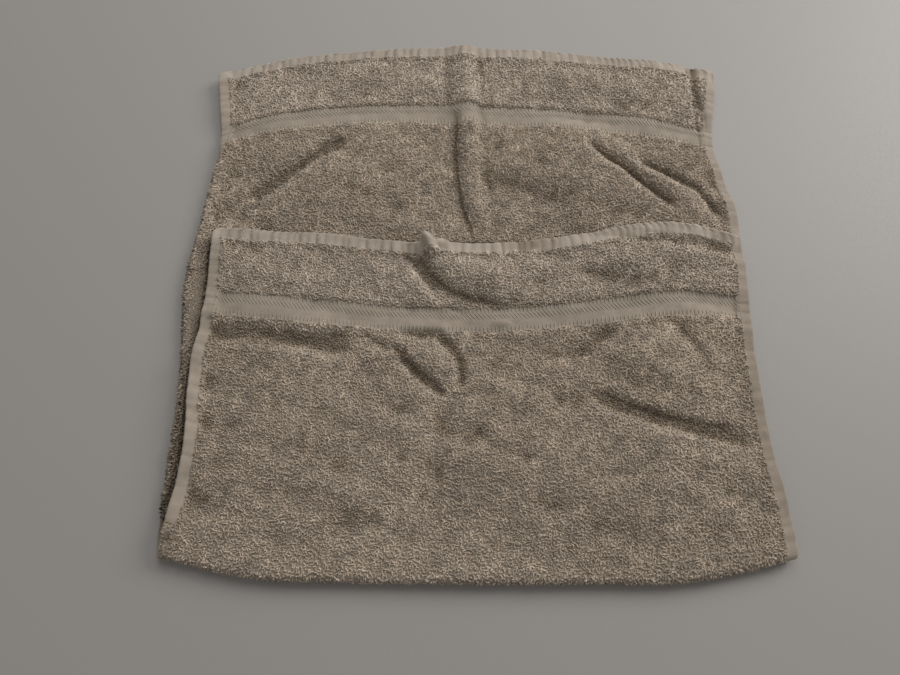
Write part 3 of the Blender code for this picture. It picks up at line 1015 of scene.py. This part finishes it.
def set_map(mesh: Mesh, name: str, places: Array) -> None:
    """Store a UV map, given one place per vertex."""
    corners = np.empty(len(mesh.loops), dtype=np.int32)
    mesh.loops.foreach_get("vertex_index", corners)
    layer = mesh.uv_layers.new(name=name)
    layer.data.foreach_set("uv", np.asarray(places, dtype=np.float32)[corners].ravel())


@dataclass
class TowelSheet:
    """The cloth itself, as one closed sheet with turned edges."""

    laid: LaidTowel
    kept_share: float = 0.30
    rim_bulge: float = 0.0009
    rim_angles: tuple[float, ...] = (-0.9, 0.0, 0.9)

    def _rim_loop(self, rows: int, columns: int) -> list[tuple[int, int]]:
        """Grid places round the edge of the cloth, in order."""
        loop = [(0, j) for j in range(columns)] + [(i, columns - 1) for i in range(1, rows)]
        loop += [(rows - 1, j) for j in range(columns - 2, -1, -1)]
        return loop + [(i, 0) for i in range(rows - 2, 0, -1)]

    def _surfaces(self) -> tuple[Array, Array]:
        """Outer and inner surfaces. The outer one is kept above what the towel lies on."""
        outer_off, inner_off = self.laid.offsets()
        outer = self.laid.middle + self.laid.normal * outer_off[..., None]
        inner = self.laid.middle - self.laid.normal * inner_off[..., None]
        outer[..., 2] = np.maximum(outer[..., 2], 0.0)
        return outer, inner

    def _outward(self, loop: list[tuple[int, int]]) -> Array:
        """Plan directions out of the cloth at its edge."""
        rows, columns = self.laid.middle.shape[:2]
        out = np.zeros((len(loop), 3))
        for k, (i, j) in enumerate(loop):
            way = np.zeros(3)
            if j in (0, columns - 1):
                way += self.laid.middle[i, j] - self.laid.middle[i, 1 if j == 0 else columns - 2]
            if i in (0, rows - 1):
                way += self.laid.middle[i, j] - self.laid.middle[1 if i == 0 else rows - 2, j]
            out[k] = way / np.linalg.norm(way)
        return out

    def _side_faces(self, base: int, flip: bool) -> list[tuple[int, ...]]:
        """Quads over one surface, whose points are numbered from base."""
        rows, columns = self.laid.middle.shape[:2]
        faces = []
        for i in range(rows - 1):
            for j in range(columns - 1):
                corner = base + i * columns + j
                quad = (corner, corner + 1, corner + columns + 1, corner + columns)
                faces.append(quad[::-1] if flip else quad)
        return faces

    def build(self, material: Material) -> Object:
        """Make the sheet.

        Args:
            material: the cloth's finish.

        Returns:
            The finished object.
        """
        laid = self.laid
        outer, inner = self._surfaces()
        rows, columns = outer.shape[:2]
        size = rows * columns
        loop = self._rim_loop(rows, columns)
        outward = self._outward(loop)
        rim = []
        edge_outer = np.array([outer[place] for place in loop])
        edge_inner = np.array([inner[place] for place in loop])
        for angle in self.rim_angles:
            share = 0.5 + 0.5 * math.sin(angle)
            bulge = outward * self.rim_bulge * math.cos(angle)
            rim.append(edge_outer * (1.0 - share) + edge_inner * share + bulge)
        points = np.concatenate([outer.reshape(-1, 3), inner.reshape(-1, 3), *rim])

        faces = self._side_faces(0, False) + self._side_faces(size, True)
        rings = [[i * columns + j for i, j in loop]]
        rings += [[2 * size + r * len(loop) + k for k in range(len(loop))] for r in range(len(rim))]
        rings.append([size + i * columns + j for i, j in loop])
        for near, far in zip(rings[:-1], rings[1:]):
            for k in range(len(loop)):
                after = (k + 1) % len(loop)
                faces.append((near[after], near[k], far[k], far[after]))

        mesh = bpy.data.meshes.new("towel_cloth")
        mesh.from_pydata(points.tolist(), [], faces)
        mesh.validate()
        mesh.shade_smooth()
        mesh.materials.append(material)
        self._store(mesh, loop, len(rim))
        return self._thinned(mesh, loop, len(rim))

    def _thinned(self, mesh: Mesh, loop: list[tuple[int, int]], rings: int) -> Object:
        """Thin the faces out where loops or another layer cover them, and keep them on the table.

        Args:
            mesh: the full sheet.
            loop: grid places round its edge.
            rings: number of rows of points in its rim.

        Returns:
            The finished object.
        """
        laid, cloth = self.laid, self.laid.cloth
        place = laid.across, laid.along
        woven = np.maximum(cloth.hem_mask(*place), cloth.border_mask(*place))
        under_loops = LOOP_COVER * (1.0 - np.ceil(woven))
        outer_shown = laid.along > laid.lie.lower.run
        inner_shown = laid.along < laid.lie.lower_shown + laid.lie.lower_fades
        outer = np.where(outer_shown, under_loops, 1.0)
        inner = np.where(inner_shown, under_loops, 1.0)
        cover = np.concatenate([outer.ravel(), inner.ravel(), np.zeros(rings * len(loop))])
        full = new_object("towel_cloth_full", mesh)
        group = full.vertex_groups.new(name="cover")
        for value in np.unique(cover[cover > 0.0]):
            group.add(np.flatnonzero(cover == value).tolist(), float(value), "REPLACE")
        thin = full.modifiers.new("thin", "DECIMATE")
        thin.ratio = self.kept_share
        thin.vertex_group = group.name
        thin.use_collapse_triangulate = True
        graph = bpy.context.evaluated_depsgraph_get()
        made = bpy.data.meshes.new_from_object(full.evaluated_get(graph))
        made.name = "towel_cloth"
        points = np.empty(3 * len(made.vertices), dtype=np.float32)
        made.vertices.foreach_get("co", points)
        points[2::3] = np.maximum(points[2::3], 0.0)
        made.vertices.foreach_set("co", points)
        bpy.data.objects.remove(full, do_unlink=True)
        return new_object("towel_cloth", made)

    def _store(self, mesh: Mesh, loop: list[tuple[int, int]], rings: int) -> None:
        """Give the sheet its flat map and its masks."""
        laid = self.laid

        def everywhere(grid: Array) -> Array:
            """A grid's values for both surfaces and for the rim."""
            edge = np.array([grid[place] for place in loop])
            return np.concatenate([grid.ravel(), grid.ravel(), np.tile(edge, rings)])

        across, along = everywhere(laid.across), everywhere(laid.along)
        set_map(mesh, "flat", np.stack([across, along], axis=-1))
        set_values(mesh, "hem", laid.cloth.hem_mask(across, along))
        set_values(mesh, "border", laid.cloth.border_mask(across, along))
        # Painted shade of creases, grooves and the slot, as a mask.
        set_values(mesh, "hollow", everywhere(laid.hollow))
        set_values(mesh, "darkened", np.minimum(sum(spot.at(across, along) for spot in laid.cloth.darkened), 1.0))


class FlatTree:
    """A Geometry Nodes tree that fills a flat patch of cloth with one repeated shape."""

    def __init__(self, name: str, inputs: dict[str, float]) -> None:
        """Start the tree.

        Args:
            name: the tree's name.
            inputs: its named sizes with their usual values.
        """
        self.group = bpy.data.node_groups.new(name, "GeometryNodeTree")
        socket(self.group, "Geometry", "NodeSocketGeometry")
        socket(self.group, "Material", "NodeSocketMaterial")
        for label, value in inputs.items():
            kind = "NodeSocketInt" if isinstance(value, int) else "NodeSocketFloat"
            socket(self.group, label, kind, value)
        socket(self.group, "Geometry", "NodeSocketGeometry", out=True)
        self.tree = Tree(self.group)
        self.given = self.tree.add("NodeGroupInput")

    def take(self, label: str) -> NodeSocket:
        """A named input of the tree."""
        return self.given.outputs[label]

    def random(self, low: float, high: float, salt: int) -> NodeSocket:
        """A random number for each point, from the tree's seed."""
        seed = self.tree.math("ADD", self.take("Seed"), float(salt))
        node = self.tree.add("FunctionNodeRandomValue", {2: low, 3: high, "Seed": seed}, data_type="FLOAT")
        return node.outputs[1]

    def vector(self, x: Feed, y: Feed, z: Feed) -> NodeSocket:
        """Three numbers as one vector."""
        return self.tree.add("ShaderNodeCombineXYZ", {0: x, 1: y, 2: z}).outputs[0]

    def tube(self, path: Node, radius: str, sides: int) -> NodeSocket:
        """A closed tube along a path, with a named input as its radius."""
        feeds = {"Resolution": sides, "Radius": self.take(radius)}
        ring = self.tree.add("GeometryNodeCurvePrimitiveCircle", feeds)
        feeds = {"Curve": path.outputs[0], "Profile Curve": ring.outputs[0], "Fill Caps": True}
        return self.tree.add("GeometryNodeCurveToMesh", feeds).outputs[0]

    def tone_stored(self, geometry: NodeSocket, tone: Feed, domain: str) -> NodeSocket:
        """The geometry with a tone stored on it."""
        feeds = {"Geometry": geometry, "Name": "tone", "Value": tone}
        kind = {"domain": domain, "data_type": "FLOAT"}
        return self.tree.add("GeometryNodeStoreNamedAttribute", feeds, **kind).outputs[0]

    def finish(
        self, points: NodeSocket, shape: NodeSocket, rotation: Feed, scale: Feed, tone: Feed
    ) -> None:
        """Put the shape on the points, give each copy its tone, and end the tree.

        Args:
            points: socket of the points.
            shape: socket of the shape's mesh.
            rotation: socket of each copy's turn.
            scale: socket of each copy's scale.
            tone: socket of each copy's tone.
        """
        tree = self.tree
        feeds = {"Points": points, "Instance": shape, "Rotation": rotation, "Scale": scale}
        copies = tree.add("GeometryNodeInstanceOnPoints", feeds)
        toned = self.tone_stored(copies.outputs[0], tone, "INSTANCE")
        real = tree.add("GeometryNodeRealizeInstances", {"Geometry": toned})
        smooth = tree.add("GeometryNodeSetShadeSmooth", {"Geometry": real.outputs[0]})
        feeds = {"Geometry": smooth.outputs[0], "Material": self.take("Material")}
        dressed = tree.add("GeometryNodeSetMaterial", feeds)
        tree.add("NodeGroupOutput", {0: dressed.outputs[0]})

    def grow(self, name: str, material: Material, sizes: dict[str, float]) -> Mesh:
        """Run the tree for one patch.

        Args:
            name: the new mesh's name.
            material: the finish that its faces take.
            sizes: values for the named inputs.

        Returns:
            A plain mesh on the flat cloth, with its middle at the origin.
        """
        holder = new_object(name + "_holder", bpy.data.meshes.new(name + "_holder"))
        modifier = holder.modifiers.new("fill", "NODES")
        modifier.node_group = self.group
        items = self.group.interface.items_tree
        labels = {item.name: item.identifier for item in items if item.in_out == "INPUT"}
        modifier[labels["Material"]] = material
        for label, value in sizes.items():
            modifier[labels[label]] = value
        graph = bpy.context.evaluated_depsgraph_get()
        mesh = bpy.data.meshes.new_from_object(holder.evaluated_get(graph))
        mesh.name = name
        bpy.data.objects.remove(holder, do_unlink=True)
        return mesh


class PileTree(FlatTree):
    """Fills a patch with loops of yarn that lean in clumps."""

    JITTER = 0.95  # how far a loop may be from its even place, in spacings
    CLUMP_TIP = 3.2
    OWN_TIP = 0.5
    # The furrow share is painted shade that darkens loops in the furrows between clumps.
    OWN_TONE, FURROW_TONE = 0.65, 0.35
    FURROW = 0.09
    FURROW_HEIGHTS = (0.72, 1.05)
    ROOT_DEPTH = 0.0003
    HANDLE_DRIFT, HANDLE_LEAN, HANDLE_RISE = 0.27, 0.67, 1.35

    def __init__(self) -> None:
        """Build the tree."""
        super().__init__(
            "pile_loops",
            {
                "Width": 0.1, "Length": 0.1, "Spacing": 0.0017, "Yarn Radius": 0.00056, "Loop Span": 0.0017,
                "Loop Height": 0.0018, "Clump Size": 0.009, "Seed": 1,
            },
        )
        points = self._points()
        toned = self.tone_stored(points, self.tone(), "POINT")
        kept = self.tree.add("GeometryNodeInputNamedAttribute", {"Name": "tone"}, data_type="FLOAT")
        self.finish(toned, self._loop(), self._lean(), self._size(), kept.outputs[0])

    def _count(self, label: str) -> NodeSocket:
        """How many loops fit along one side of the patch."""
        tree = self.tree
        return tree.math("ROUND", tree.math("DIVIDE", self.take(label), self.take("Spacing")))

    def _points(self) -> NodeSocket:
        """A grid of points, each moved at random from its place."""
        tree = self.tree
        feeds = {"Size X": self.take("Width"), "Size Y": self.take("Length")}
        feeds |= {"Vertices X": self._count("Width"), "Vertices Y": self._count("Length")}
        grid = tree.add("GeometryNodeMeshGrid", feeds)
        reach = tree.math("MULTIPLY", self.take("Spacing"), self.JITTER)
        jitter = self.vector(self.random(-0.5, 0.5, 1), self.random(-0.5, 0.5, 2), 0.0)
        offset = tree.add("ShaderNodeVectorMath", {0: jitter, "Scale": reach}, operation="SCALE").outputs[0]
        return tree.add("GeometryNodeSetPosition", {"Geometry": grid.outputs[0], "Offset": offset}).outputs[0]

    def _loop(self) -> NodeSocket:
        """One loop: a bent tube of yarn with three sides and two lengths."""
        tree = self.tree
        half = tree.math("MULTIPLY", self.take("Loop Span"), 0.5)
        start = self.vector(tree.math("MULTIPLY", half, -1.0), 0.0, -self.ROOT_DEPTH)
        end = self.vector(half, 0.0, -self.ROOT_DEPTH)
        lean, drift = (tree.math("MULTIPLY", half, share) for share in (self.HANDLE_LEAN, self.HANDLE_DRIFT))
        top = self.vector(drift, lean, tree.math("MULTIPLY", self.take("Loop Height"), self.HANDLE_RISE))
        feeds = {"Resolution": 2, "Start": start, "Start Handle": top, "End Handle": top, "End": end}
        arch = tree.add("GeometryNodeCurvePrimitiveBezierSegment", feeds, mode="POSITION")
        return self.tube(arch, "Yarn Radius", 3)

    def _clumps(self, shift: float) -> NodeSocket:
        """Smooth noise over the patch, from about -0.5 to 0.5."""
        tree = self.tree
        place = tree.add("GeometryNodeInputPosition").outputs[0]
        moved = tree.add("ShaderNodeVectorMath", {0: place, 1: (shift, shift, shift)}, operation="ADD")
        scale = tree.math("DIVIDE", 1.0, self.take("Clump Size"))
        seed = tree.math("MULTIPLY", self.take("Seed"), 3.7)
        feeds = {"Vector": moved.outputs[0], "Scale": scale, "Detail": 2.0, "W": seed}
        noise = tree.add("ShaderNodeTexNoise", feeds, noise_dimensions="4D")
        return tree.math("SUBTRACT", noise.outputs[0], 0.5)

    def _lean(self) -> NodeSocket:
        """Turn of each loop: any way round, tipped over with its clump."""
        tree = self.tree
        tips = []
        for shift, salt in ((0.0, 3), (7.0, 4)):
            own = self.random(-self.OWN_TIP, self.OWN_TIP, salt)
            tips.append(tree.math("ADD", tree.math("MULTIPLY", self._clumps(shift), self.CLUMP_TIP), own))
        return self.vector(*tips, self.random(0.0, 2.0 * math.pi, 5))

    def _furrow(self) -> NodeSocket:
        """0 in the winding furrows between clumps, 1 on the clumps."""
        return self.tree.span(self.tree.math("ABSOLUTE", self._clumps(3.0)), 0.0, self.FURROW, 0.0, 1.0)

    def tone(self) -> NodeSocket:
        """Each loop's own tone, with painted shade that darkens it in the furrows."""
        tree = self.tree
        own = tree.math("MULTIPLY", self.random(0.0, 1.0, 90), self.OWN_TONE)
        low = tree.math("MULTIPLY", self._furrow(), self.FURROW_TONE)
        return tree.math("SUBTRACT", 1.0, tree.math("ADD", own, low))

    def _size(self) -> NodeSocket:
        """Scale of each loop, larger on top of clumps."""
        high = self.tree.span(self._furrow(), 0.0, 1.0, *self.FURROW_HEIGHTS)
        tall = self.tree.math("MULTIPLY", self.random(0.80, 1.2, 6), high)
        return self.vector(self.random(0.8, 1.25, 7), self.random(0.85, 1.15, 8), tall)


class StrandTree(FlatTree):
    """Fills a narrow band with parallel raised threads."""

    WANDER = 0.06  # how far threads turn at random
    SUNK = 0.0002
    RISE = 1.2

    def __init__(self) -> None:
        """Build the tree."""
        super().__init__(
            "woven_strands",
            {
                "Width": 0.39, "Pitch": 0.0033, "Thread Length": 0.005, "Thread Radius": 0.0004,
                "Flatness": 0.5, "Slant": 0.0, "Uneven": 0.15, "Seed": 1,
            },
        )
        tree = self.tree
        width = self.take("Width")
        count = tree.math("ROUND", tree.math("DIVIDE", width, self.take("Pitch")))
        first = self.vector(tree.math("MULTIPLY", width, -0.5), 0.0, 0.0)
        last = self.vector(tree.math("MULTIPLY", width, 0.5), 0.0, 0.0)
        feeds = {"Count": count, "Start Location": first, "Offset": last}
        line = tree.add("GeometryNodeMeshLine", feeds, mode="END_POINTS", count_mode="TOTAL").outputs[0]
        wander = tree.math("MULTIPLY", self.random(-0.5, 0.5, 1), self.WANDER)
        turn = tree.math("ADD", self.take("Slant"), wander)
        uneven = tree.math("MULTIPLY", self.random(-1.0, 1.0, 2), self.take("Uneven"))
        size = self.vector(1.0, tree.math("ADD", 1.0, uneven), self.take("Flatness"))
        self.finish(line, self._thread(), self.vector(0.0, 0.0, turn), size, self.random(0.0, 1.0, 90))

    def _thread(self) -> NodeSocket:
        """One thread: a low arch of four sides, sunk a little at both ends."""
        tree = self.tree
        half = tree.math("MULTIPLY", self.take("Thread Length"), 0.5)
        near = self.vector(0.0, tree.math("MULTIPLY", half, -1.0), -self.SUNK)
        far = self.vector(0.0, half, -self.SUNK)
        top = self.vector(0.0, 0.0, tree.math("MULTIPLY", self.take("Thread Radius"), self.RISE))
        feeds = {"Resolution": 4, "Start": near, "Middle": top, "End": far}
        return self.tube(tree.add("GeometryNodeCurveQuadraticBezier", feeds), "Thread Radius", 4)


@dataclass(frozen=True)
class Patch:
    """A rectangle of flat cloth on one of its sides."""

    name: str
    across: tuple[float, float]
    along: tuple[float, float]
    side: Side

    @property
    def width(self) -> float:
        """Size across the cloth."""
        return self.across[1] - self.across[0]

    @property
    def length(self) -> float:
        """Size along the cloth."""
        return self.along[1] - self.along[0]

    @property
    def middle(self) -> tuple[float, float]:
        """Middle of the rectangle."""
        return sum(self.across) / 2.0, sum(self.along) / 2.0


def lay_down(
    laid: LaidTowel,
    mesh: Mesh,
    middle: tuple[float, float],
    side: Side,
    tip_height: float,
    upright: bool = False,
) -> Object:
    """Lay a flat mesh on the towel.

    Args:
        laid: the folded towel.
        mesh: a mesh on the flat cloth with its middle at the origin.
        middle: where its middle belongs on the flat cloth.
        side: the face of the cloth that it stands on.
        tip_height: height at which a vertex counts as a tip.
        upright: whether the mesh is first turned a quarter round.

    Returns:
        The object in its place.
    """
    count = len(mesh.vertices)
    flat = np.empty(count * 3)
    mesh.vertices.foreach_get("co", flat)
    flat = flat.reshape(-1, 3)
    if upright:
        flat = np.stack([-flat[:, 1], flat[:, 0], flat[:, 2]], axis=1)
    flat[:, :2] += middle
    points = laid.place(flat, side)
    mesh.vertices.foreach_set("co", points.ravel())
    set_values(mesh, "tip", np.clip(flat[:, 2] / tip_height, 0.0, 1.0))
    # The same painted shade on the pieces that stand on the cloth.
    set_values(mesh, "hollow", laid.read(laid.hollow, flat[:, 0], flat[:, 1]))
    low = flat[:, :2].min(axis=0)
    set_map(mesh, "OFBake", (flat[:, :2] - low) / (flat[:, :2].max(axis=0) - low).max())
    if side is Side.INNER:
        mesh.flip_normals()
    mesh.update()
    return new_object(mesh.name, mesh)


@dataclass
class Pile:
    """The loops of the terry wherever it shows."""

    laid: LaidTowel
    spacing: float = 0.00168
    loop_height: float = 0.0015
    edge_gap: float = -0.0003
    corner_cover: float = 0.026
    corner_inset: float = 0.0008
    side_cover: float = 0.016
    side_stop: float = 0.02  # how far before the fold the side strip ends
    past_turn: float = 0.0005

    def patches(self) -> list[Patch]:
        """Patches of looped cloth, small enough that each piece of pile stays light."""
        cloth, lie = self.laid.cloth, self.laid.lie
        left, right = cloth.side_hem + self.edge_gap, cloth.width - cloth.side_hem - self.edge_gap
        strip_from, strip_to = cloth.end_hem + self.edge_gap, cloth.strip - self.edge_gap
        main_from = cloth.strip + cloth.border + self.edge_gap
        length = cloth.length
        turn = lie.lower.run + self.past_turn
        beside = (lie.lower_shown, lie.lower.run - self.side_stop)
        corner = (turn, turn + self.corner_cover)
        found = [
            Patch("pile_far_end_strip", (left, right), (strip_from, strip_to), Side.INNER),
            Patch("pile_free_end_strip", (left, right), (length - strip_to, length - strip_from), Side.OUTER),
            Patch("pile_side_strip", (left, left + self.side_cover), beside, Side.INNER),
            Patch("pile_fold_corner", (self.corner_inset, left), corner, Side.OUTER),
        ]
        layers = (
            ("lower", ("left", "right"), (main_from, lie.lower_shown), Side.INNER),
            ("upper", ("left", "middle", "right"), (turn, length - main_from), Side.OUTER),
        )
        for layer, names, along, side in layers:
            span = (right - left) / len(names)
            for k, name in enumerate(names):
                sides = (left + k * span, left + (k + 1) * span)
                found.append(Patch(f"pile_{layer}_{name}", sides, along, side))
        return found

    def build(self, material: Material, strip_finish: Material) -> list[Object]:
        """Make every patch of loops.

        Args:
            material: the finish of the loops.
            strip_finish: the finish of the paler strips between hem and border.

        Returns:
            The patches in their places.
        """
        tree = PileTree()
        made = []
        for seed, patch in enumerate(self.patches(), start=1):
            sizes = {"Width": patch.width, "Length": patch.length, "Spacing": self.spacing}
            sizes |= {"Loop Height": self.loop_height, "Seed": seed}
            finish = strip_finish if patch.name.endswith("end_strip") else material
            mesh = tree.grow(patch.name, finish, sizes)
            made.append(lay_down(self.laid, mesh, patch.middle, patch.side, self.loop_height))
        return made


@dataclass(frozen=True)
class WovenBand:
    """One line of raised threads in a border, by its place from the border's edge nearer the end."""

    name: str
    start: float
    height: float
    slant: float
    radius: float
    flatness: float


@dataclass
class Borders:
    """The raised weave of the two borders: short ribs, slanting twill and a fine ladder."""

    laid: LaidTowel
    pitch: float = 0.0029
    side_gap: float = 0.001
    bands: tuple[WovenBand, ...] = (
        WovenBand("ribs", 0.0010, 0.0036, 0.0, 0.00065, 0.50),
        WovenBand("twill", 0.0050, 0.0056, 0.72, 0.00050, 0.42),
        WovenBand("ladder", 0.0160, 0.0044, 0.0, 0.00062, 0.55),
    )

    def build(self, material: Material) -> list[Object]:
        """Make each band of both borders."""
        cloth = self.laid.cloth
        tree = StrandTree()
        inner = cloth.side_hem + self.side_gap
        made = []
        for layer, side in (("lower", Side.INNER), ("upper", Side.OUTER)):
            for seed, band in enumerate(self.bands, start=1):
                from_end = cloth.strip + band.start
                along = (from_end, from_end + band.height)
                if side is Side.OUTER:
                    along = (cloth.length - along[1], cloth.length - along[0])
                patch = Patch(f"border_{layer}_{band.name}", (inner, cloth.width - inner), along, side)
                slant = band.slant if side is Side.OUTER else -band.slant
                sizes = {"Width": patch.width, "Pitch": self.pitch, "Slant": slant, "Seed": seed}
                sizes |= {"Thread Length": patch.length / math.cos(slant), "Thread Radius": band.radius}
                sizes |= {"Flatness": band.flatness}
                mesh = tree.grow(patch.name, material, sizes)
                made.append(lay_down(self.laid, mesh, patch.middle, side, band.radius))
        return made


@dataclass(frozen=True)
class Seam:
    """A row of stitches along a hem's inner edge."""

    name: str
    start: tuple[float, float]
    stop: tuple[float, float]
    side: Side


@dataclass
class Stitches:
    """The stitches that hold the turned hems down."""

    laid: LaidTowel
    pitch: float = 0.0034
    length: float = 0.0026
    radius: float = 0.00034
    inset: float = 0.0012
    from_turn: float = 0.004

    def seams(self) -> list[Seam]:
        """Rows of stitches wherever a hem shows."""
        cloth, lie = self.laid.cloth, self.laid.lie
        side, end = cloth.side_hem - self.inset, cloth.end_hem - self.inset
        free, fold = cloth.length - end, lie.lower.run + self.from_turn
        right = cloth.width - side
        return [
            Seam("stitches_far_end", (side, end), (right, end), Side.INNER),
            Seam("stitches_far_left", (side, end), (side, lie.lower_shown), Side.INNER),
            Seam("stitches_far_right", (right, end), (right, lie.lower_shown), Side.INNER),
            Seam("stitches_free_end", (side, free), (right, free), Side.OUTER),
            Seam("stitches_free_left", (side, fold), (side, free), Side.OUTER),
            Seam("stitches_free_right", (right, fold), (right, free), Side.OUTER),
        ]

    def build(self, material: Material) -> list[Object]:
        """Make every row."""
        tree = StrandTree()
        made = []
        for seed, seam in enumerate(self.seams(), start=40):
            run = math.dist(seam.start, seam.stop)
            sizes = {"Width": run, "Pitch": self.pitch, "Slant": math.pi / 2.0, "Seed": seed, "Uneven": 0.08}
            sizes |= {"Thread Length": self.length, "Thread Radius": self.radius, "Flatness": 0.8}
            mesh = tree.grow(seam.name, material, sizes)
            middle = [(a + b) / 2.0 for a, b in zip(seam.start, seam.stop)]
            upright = seam.start[0] == seam.stop[0]
            made.append(lay_down(self.laid, mesh, middle, seam.side, self.radius, upright))
        return made


@dataclass(frozen=True)
class AreaLight:
    """A soft square light that faces the towel's middle."""

    name: str
    place: tuple[float, float, float]
    size: float
    power: float
    colour: Colour

    def build(self) -> None:
        """Make the light."""
        data = bpy.data.lights.new(self.name, "AREA")
        data.shape, data.size, data.energy, data.color = "SQUARE", self.size, self.power, self.colour
        light = new_object(self.name, data)
        light.location = self.place
        light.rotation_euler = (-Vector(self.place)).to_track_quat("-Z", "Y").to_euler()


@dataclass
class Studio:
    """Plain pale table, soft light and the camera. The camera's place counts from the fold, as in Lie."""

    shift: Array
    camera_place: tuple[float, float, float] = (-0.015, 0.0, 0.457)
    camera_tilt: float = math.radians(20.0)
    lens: float = 27.04
    sensor: float = 36.0
    table_colour: Colour = (0.450, 0.436, 0.424)
    table_half: float = 2.5
    table_drop: float = 0.0003
    room_colour: Colour = (1.0, 0.975, 0.94)
    room_light: float = 0.215
    lights: tuple[AreaLight, ...] = (
        AreaLight("window", (1.40, 0.90, 0.95), 0.95, 16.5, (1.0, 0.985, 0.96)),
        AreaLight("ceiling", (0.15, 1.50, 1.8), 1.8, 16.0, (1.0, 0.98, 0.95)),
    )

    def _table(self) -> Object:
        """A wide flat table top with a faint sheen."""
        mesh, half = bpy.data.meshes.new("table_top"), self.table_half
        corners = [(-half, -half), (half, -half), (half, half), (-half, half)]
        mesh.from_pydata([(x, y, -self.table_drop) for x, y in corners], [], [(0, 1, 2, 3)])
        surface = Surface("pale_table")
        grain = surface.noise(surface.object_place(), 900.0, 2.0)
        surface.set(Base_Color=opaque(self.table_colour), Roughness=surface.span(grain, 0.3, 0.7, 0.46, 0.58))
        surface.bump(grain, 0.15, 0.0004)
        mesh.materials.append(surface.material)
        return new_object("table_top", mesh)

    def build(self) -> None:
        """Set the table, the lights, the surroundings and the camera."""
        self._table()
        for light in self.lights:
            light.build()
        scene = bpy.context.scene
        scene.world = bpy.data.worlds.new("room")
        scene.world.use_nodes = True
        room = scene.world.node_tree.nodes["Background"]
        room.inputs["Color"].default_value = opaque(self.room_colour)
        room.inputs["Strength"].default_value = self.room_light
        scene.view_settings.view_transform = "Standard"
        data = bpy.data.cameras.new("camera")
        data.lens, data.sensor_width = self.lens, self.sensor
        scene.camera = new_object("camera", data)
        scene.camera.location = Vector(self.camera_place) + Vector(self.shift)
        scene.camera.rotation_euler = (self.camera_tilt, 0.0, 0.0)


def report(pieces: list[Object]) -> None:
    """Log each piece's name and number of triangles."""
    total = 0
    for piece in pieces:
        piece.data.calc_loop_triangles()
        total += len(piece.data.loop_triangles)
        LOG.info("%s: %d triangles", piece.name, len(piece.data.loop_triangles))
    LOG.info("all pieces: %d triangles", total)


def main() -> None:
    """Build the towel's pieces in order, tie them to the frame and set the studio."""
    logging.basicConfig(level=logging.INFO, format="%(message)s")
    finishes = Finishes()
    laid = LaidTowel(FlatCloth(), Lie())
    sheet = TowelSheet(laid).build(finishes.cloth)
    details = Pile(laid).build(finishes.loops, finishes.pale)
    details += Borders(laid).build(finishes.thread)
    details += Stitches(laid).build(finishes.thread)
    for piece in [sheet, *details]:
        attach(piece, BODY)
    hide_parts(NODE)
    Studio(laid.shift).build()
    report([sheet, *details])
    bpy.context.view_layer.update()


if __name__ == "__main__":
    main()
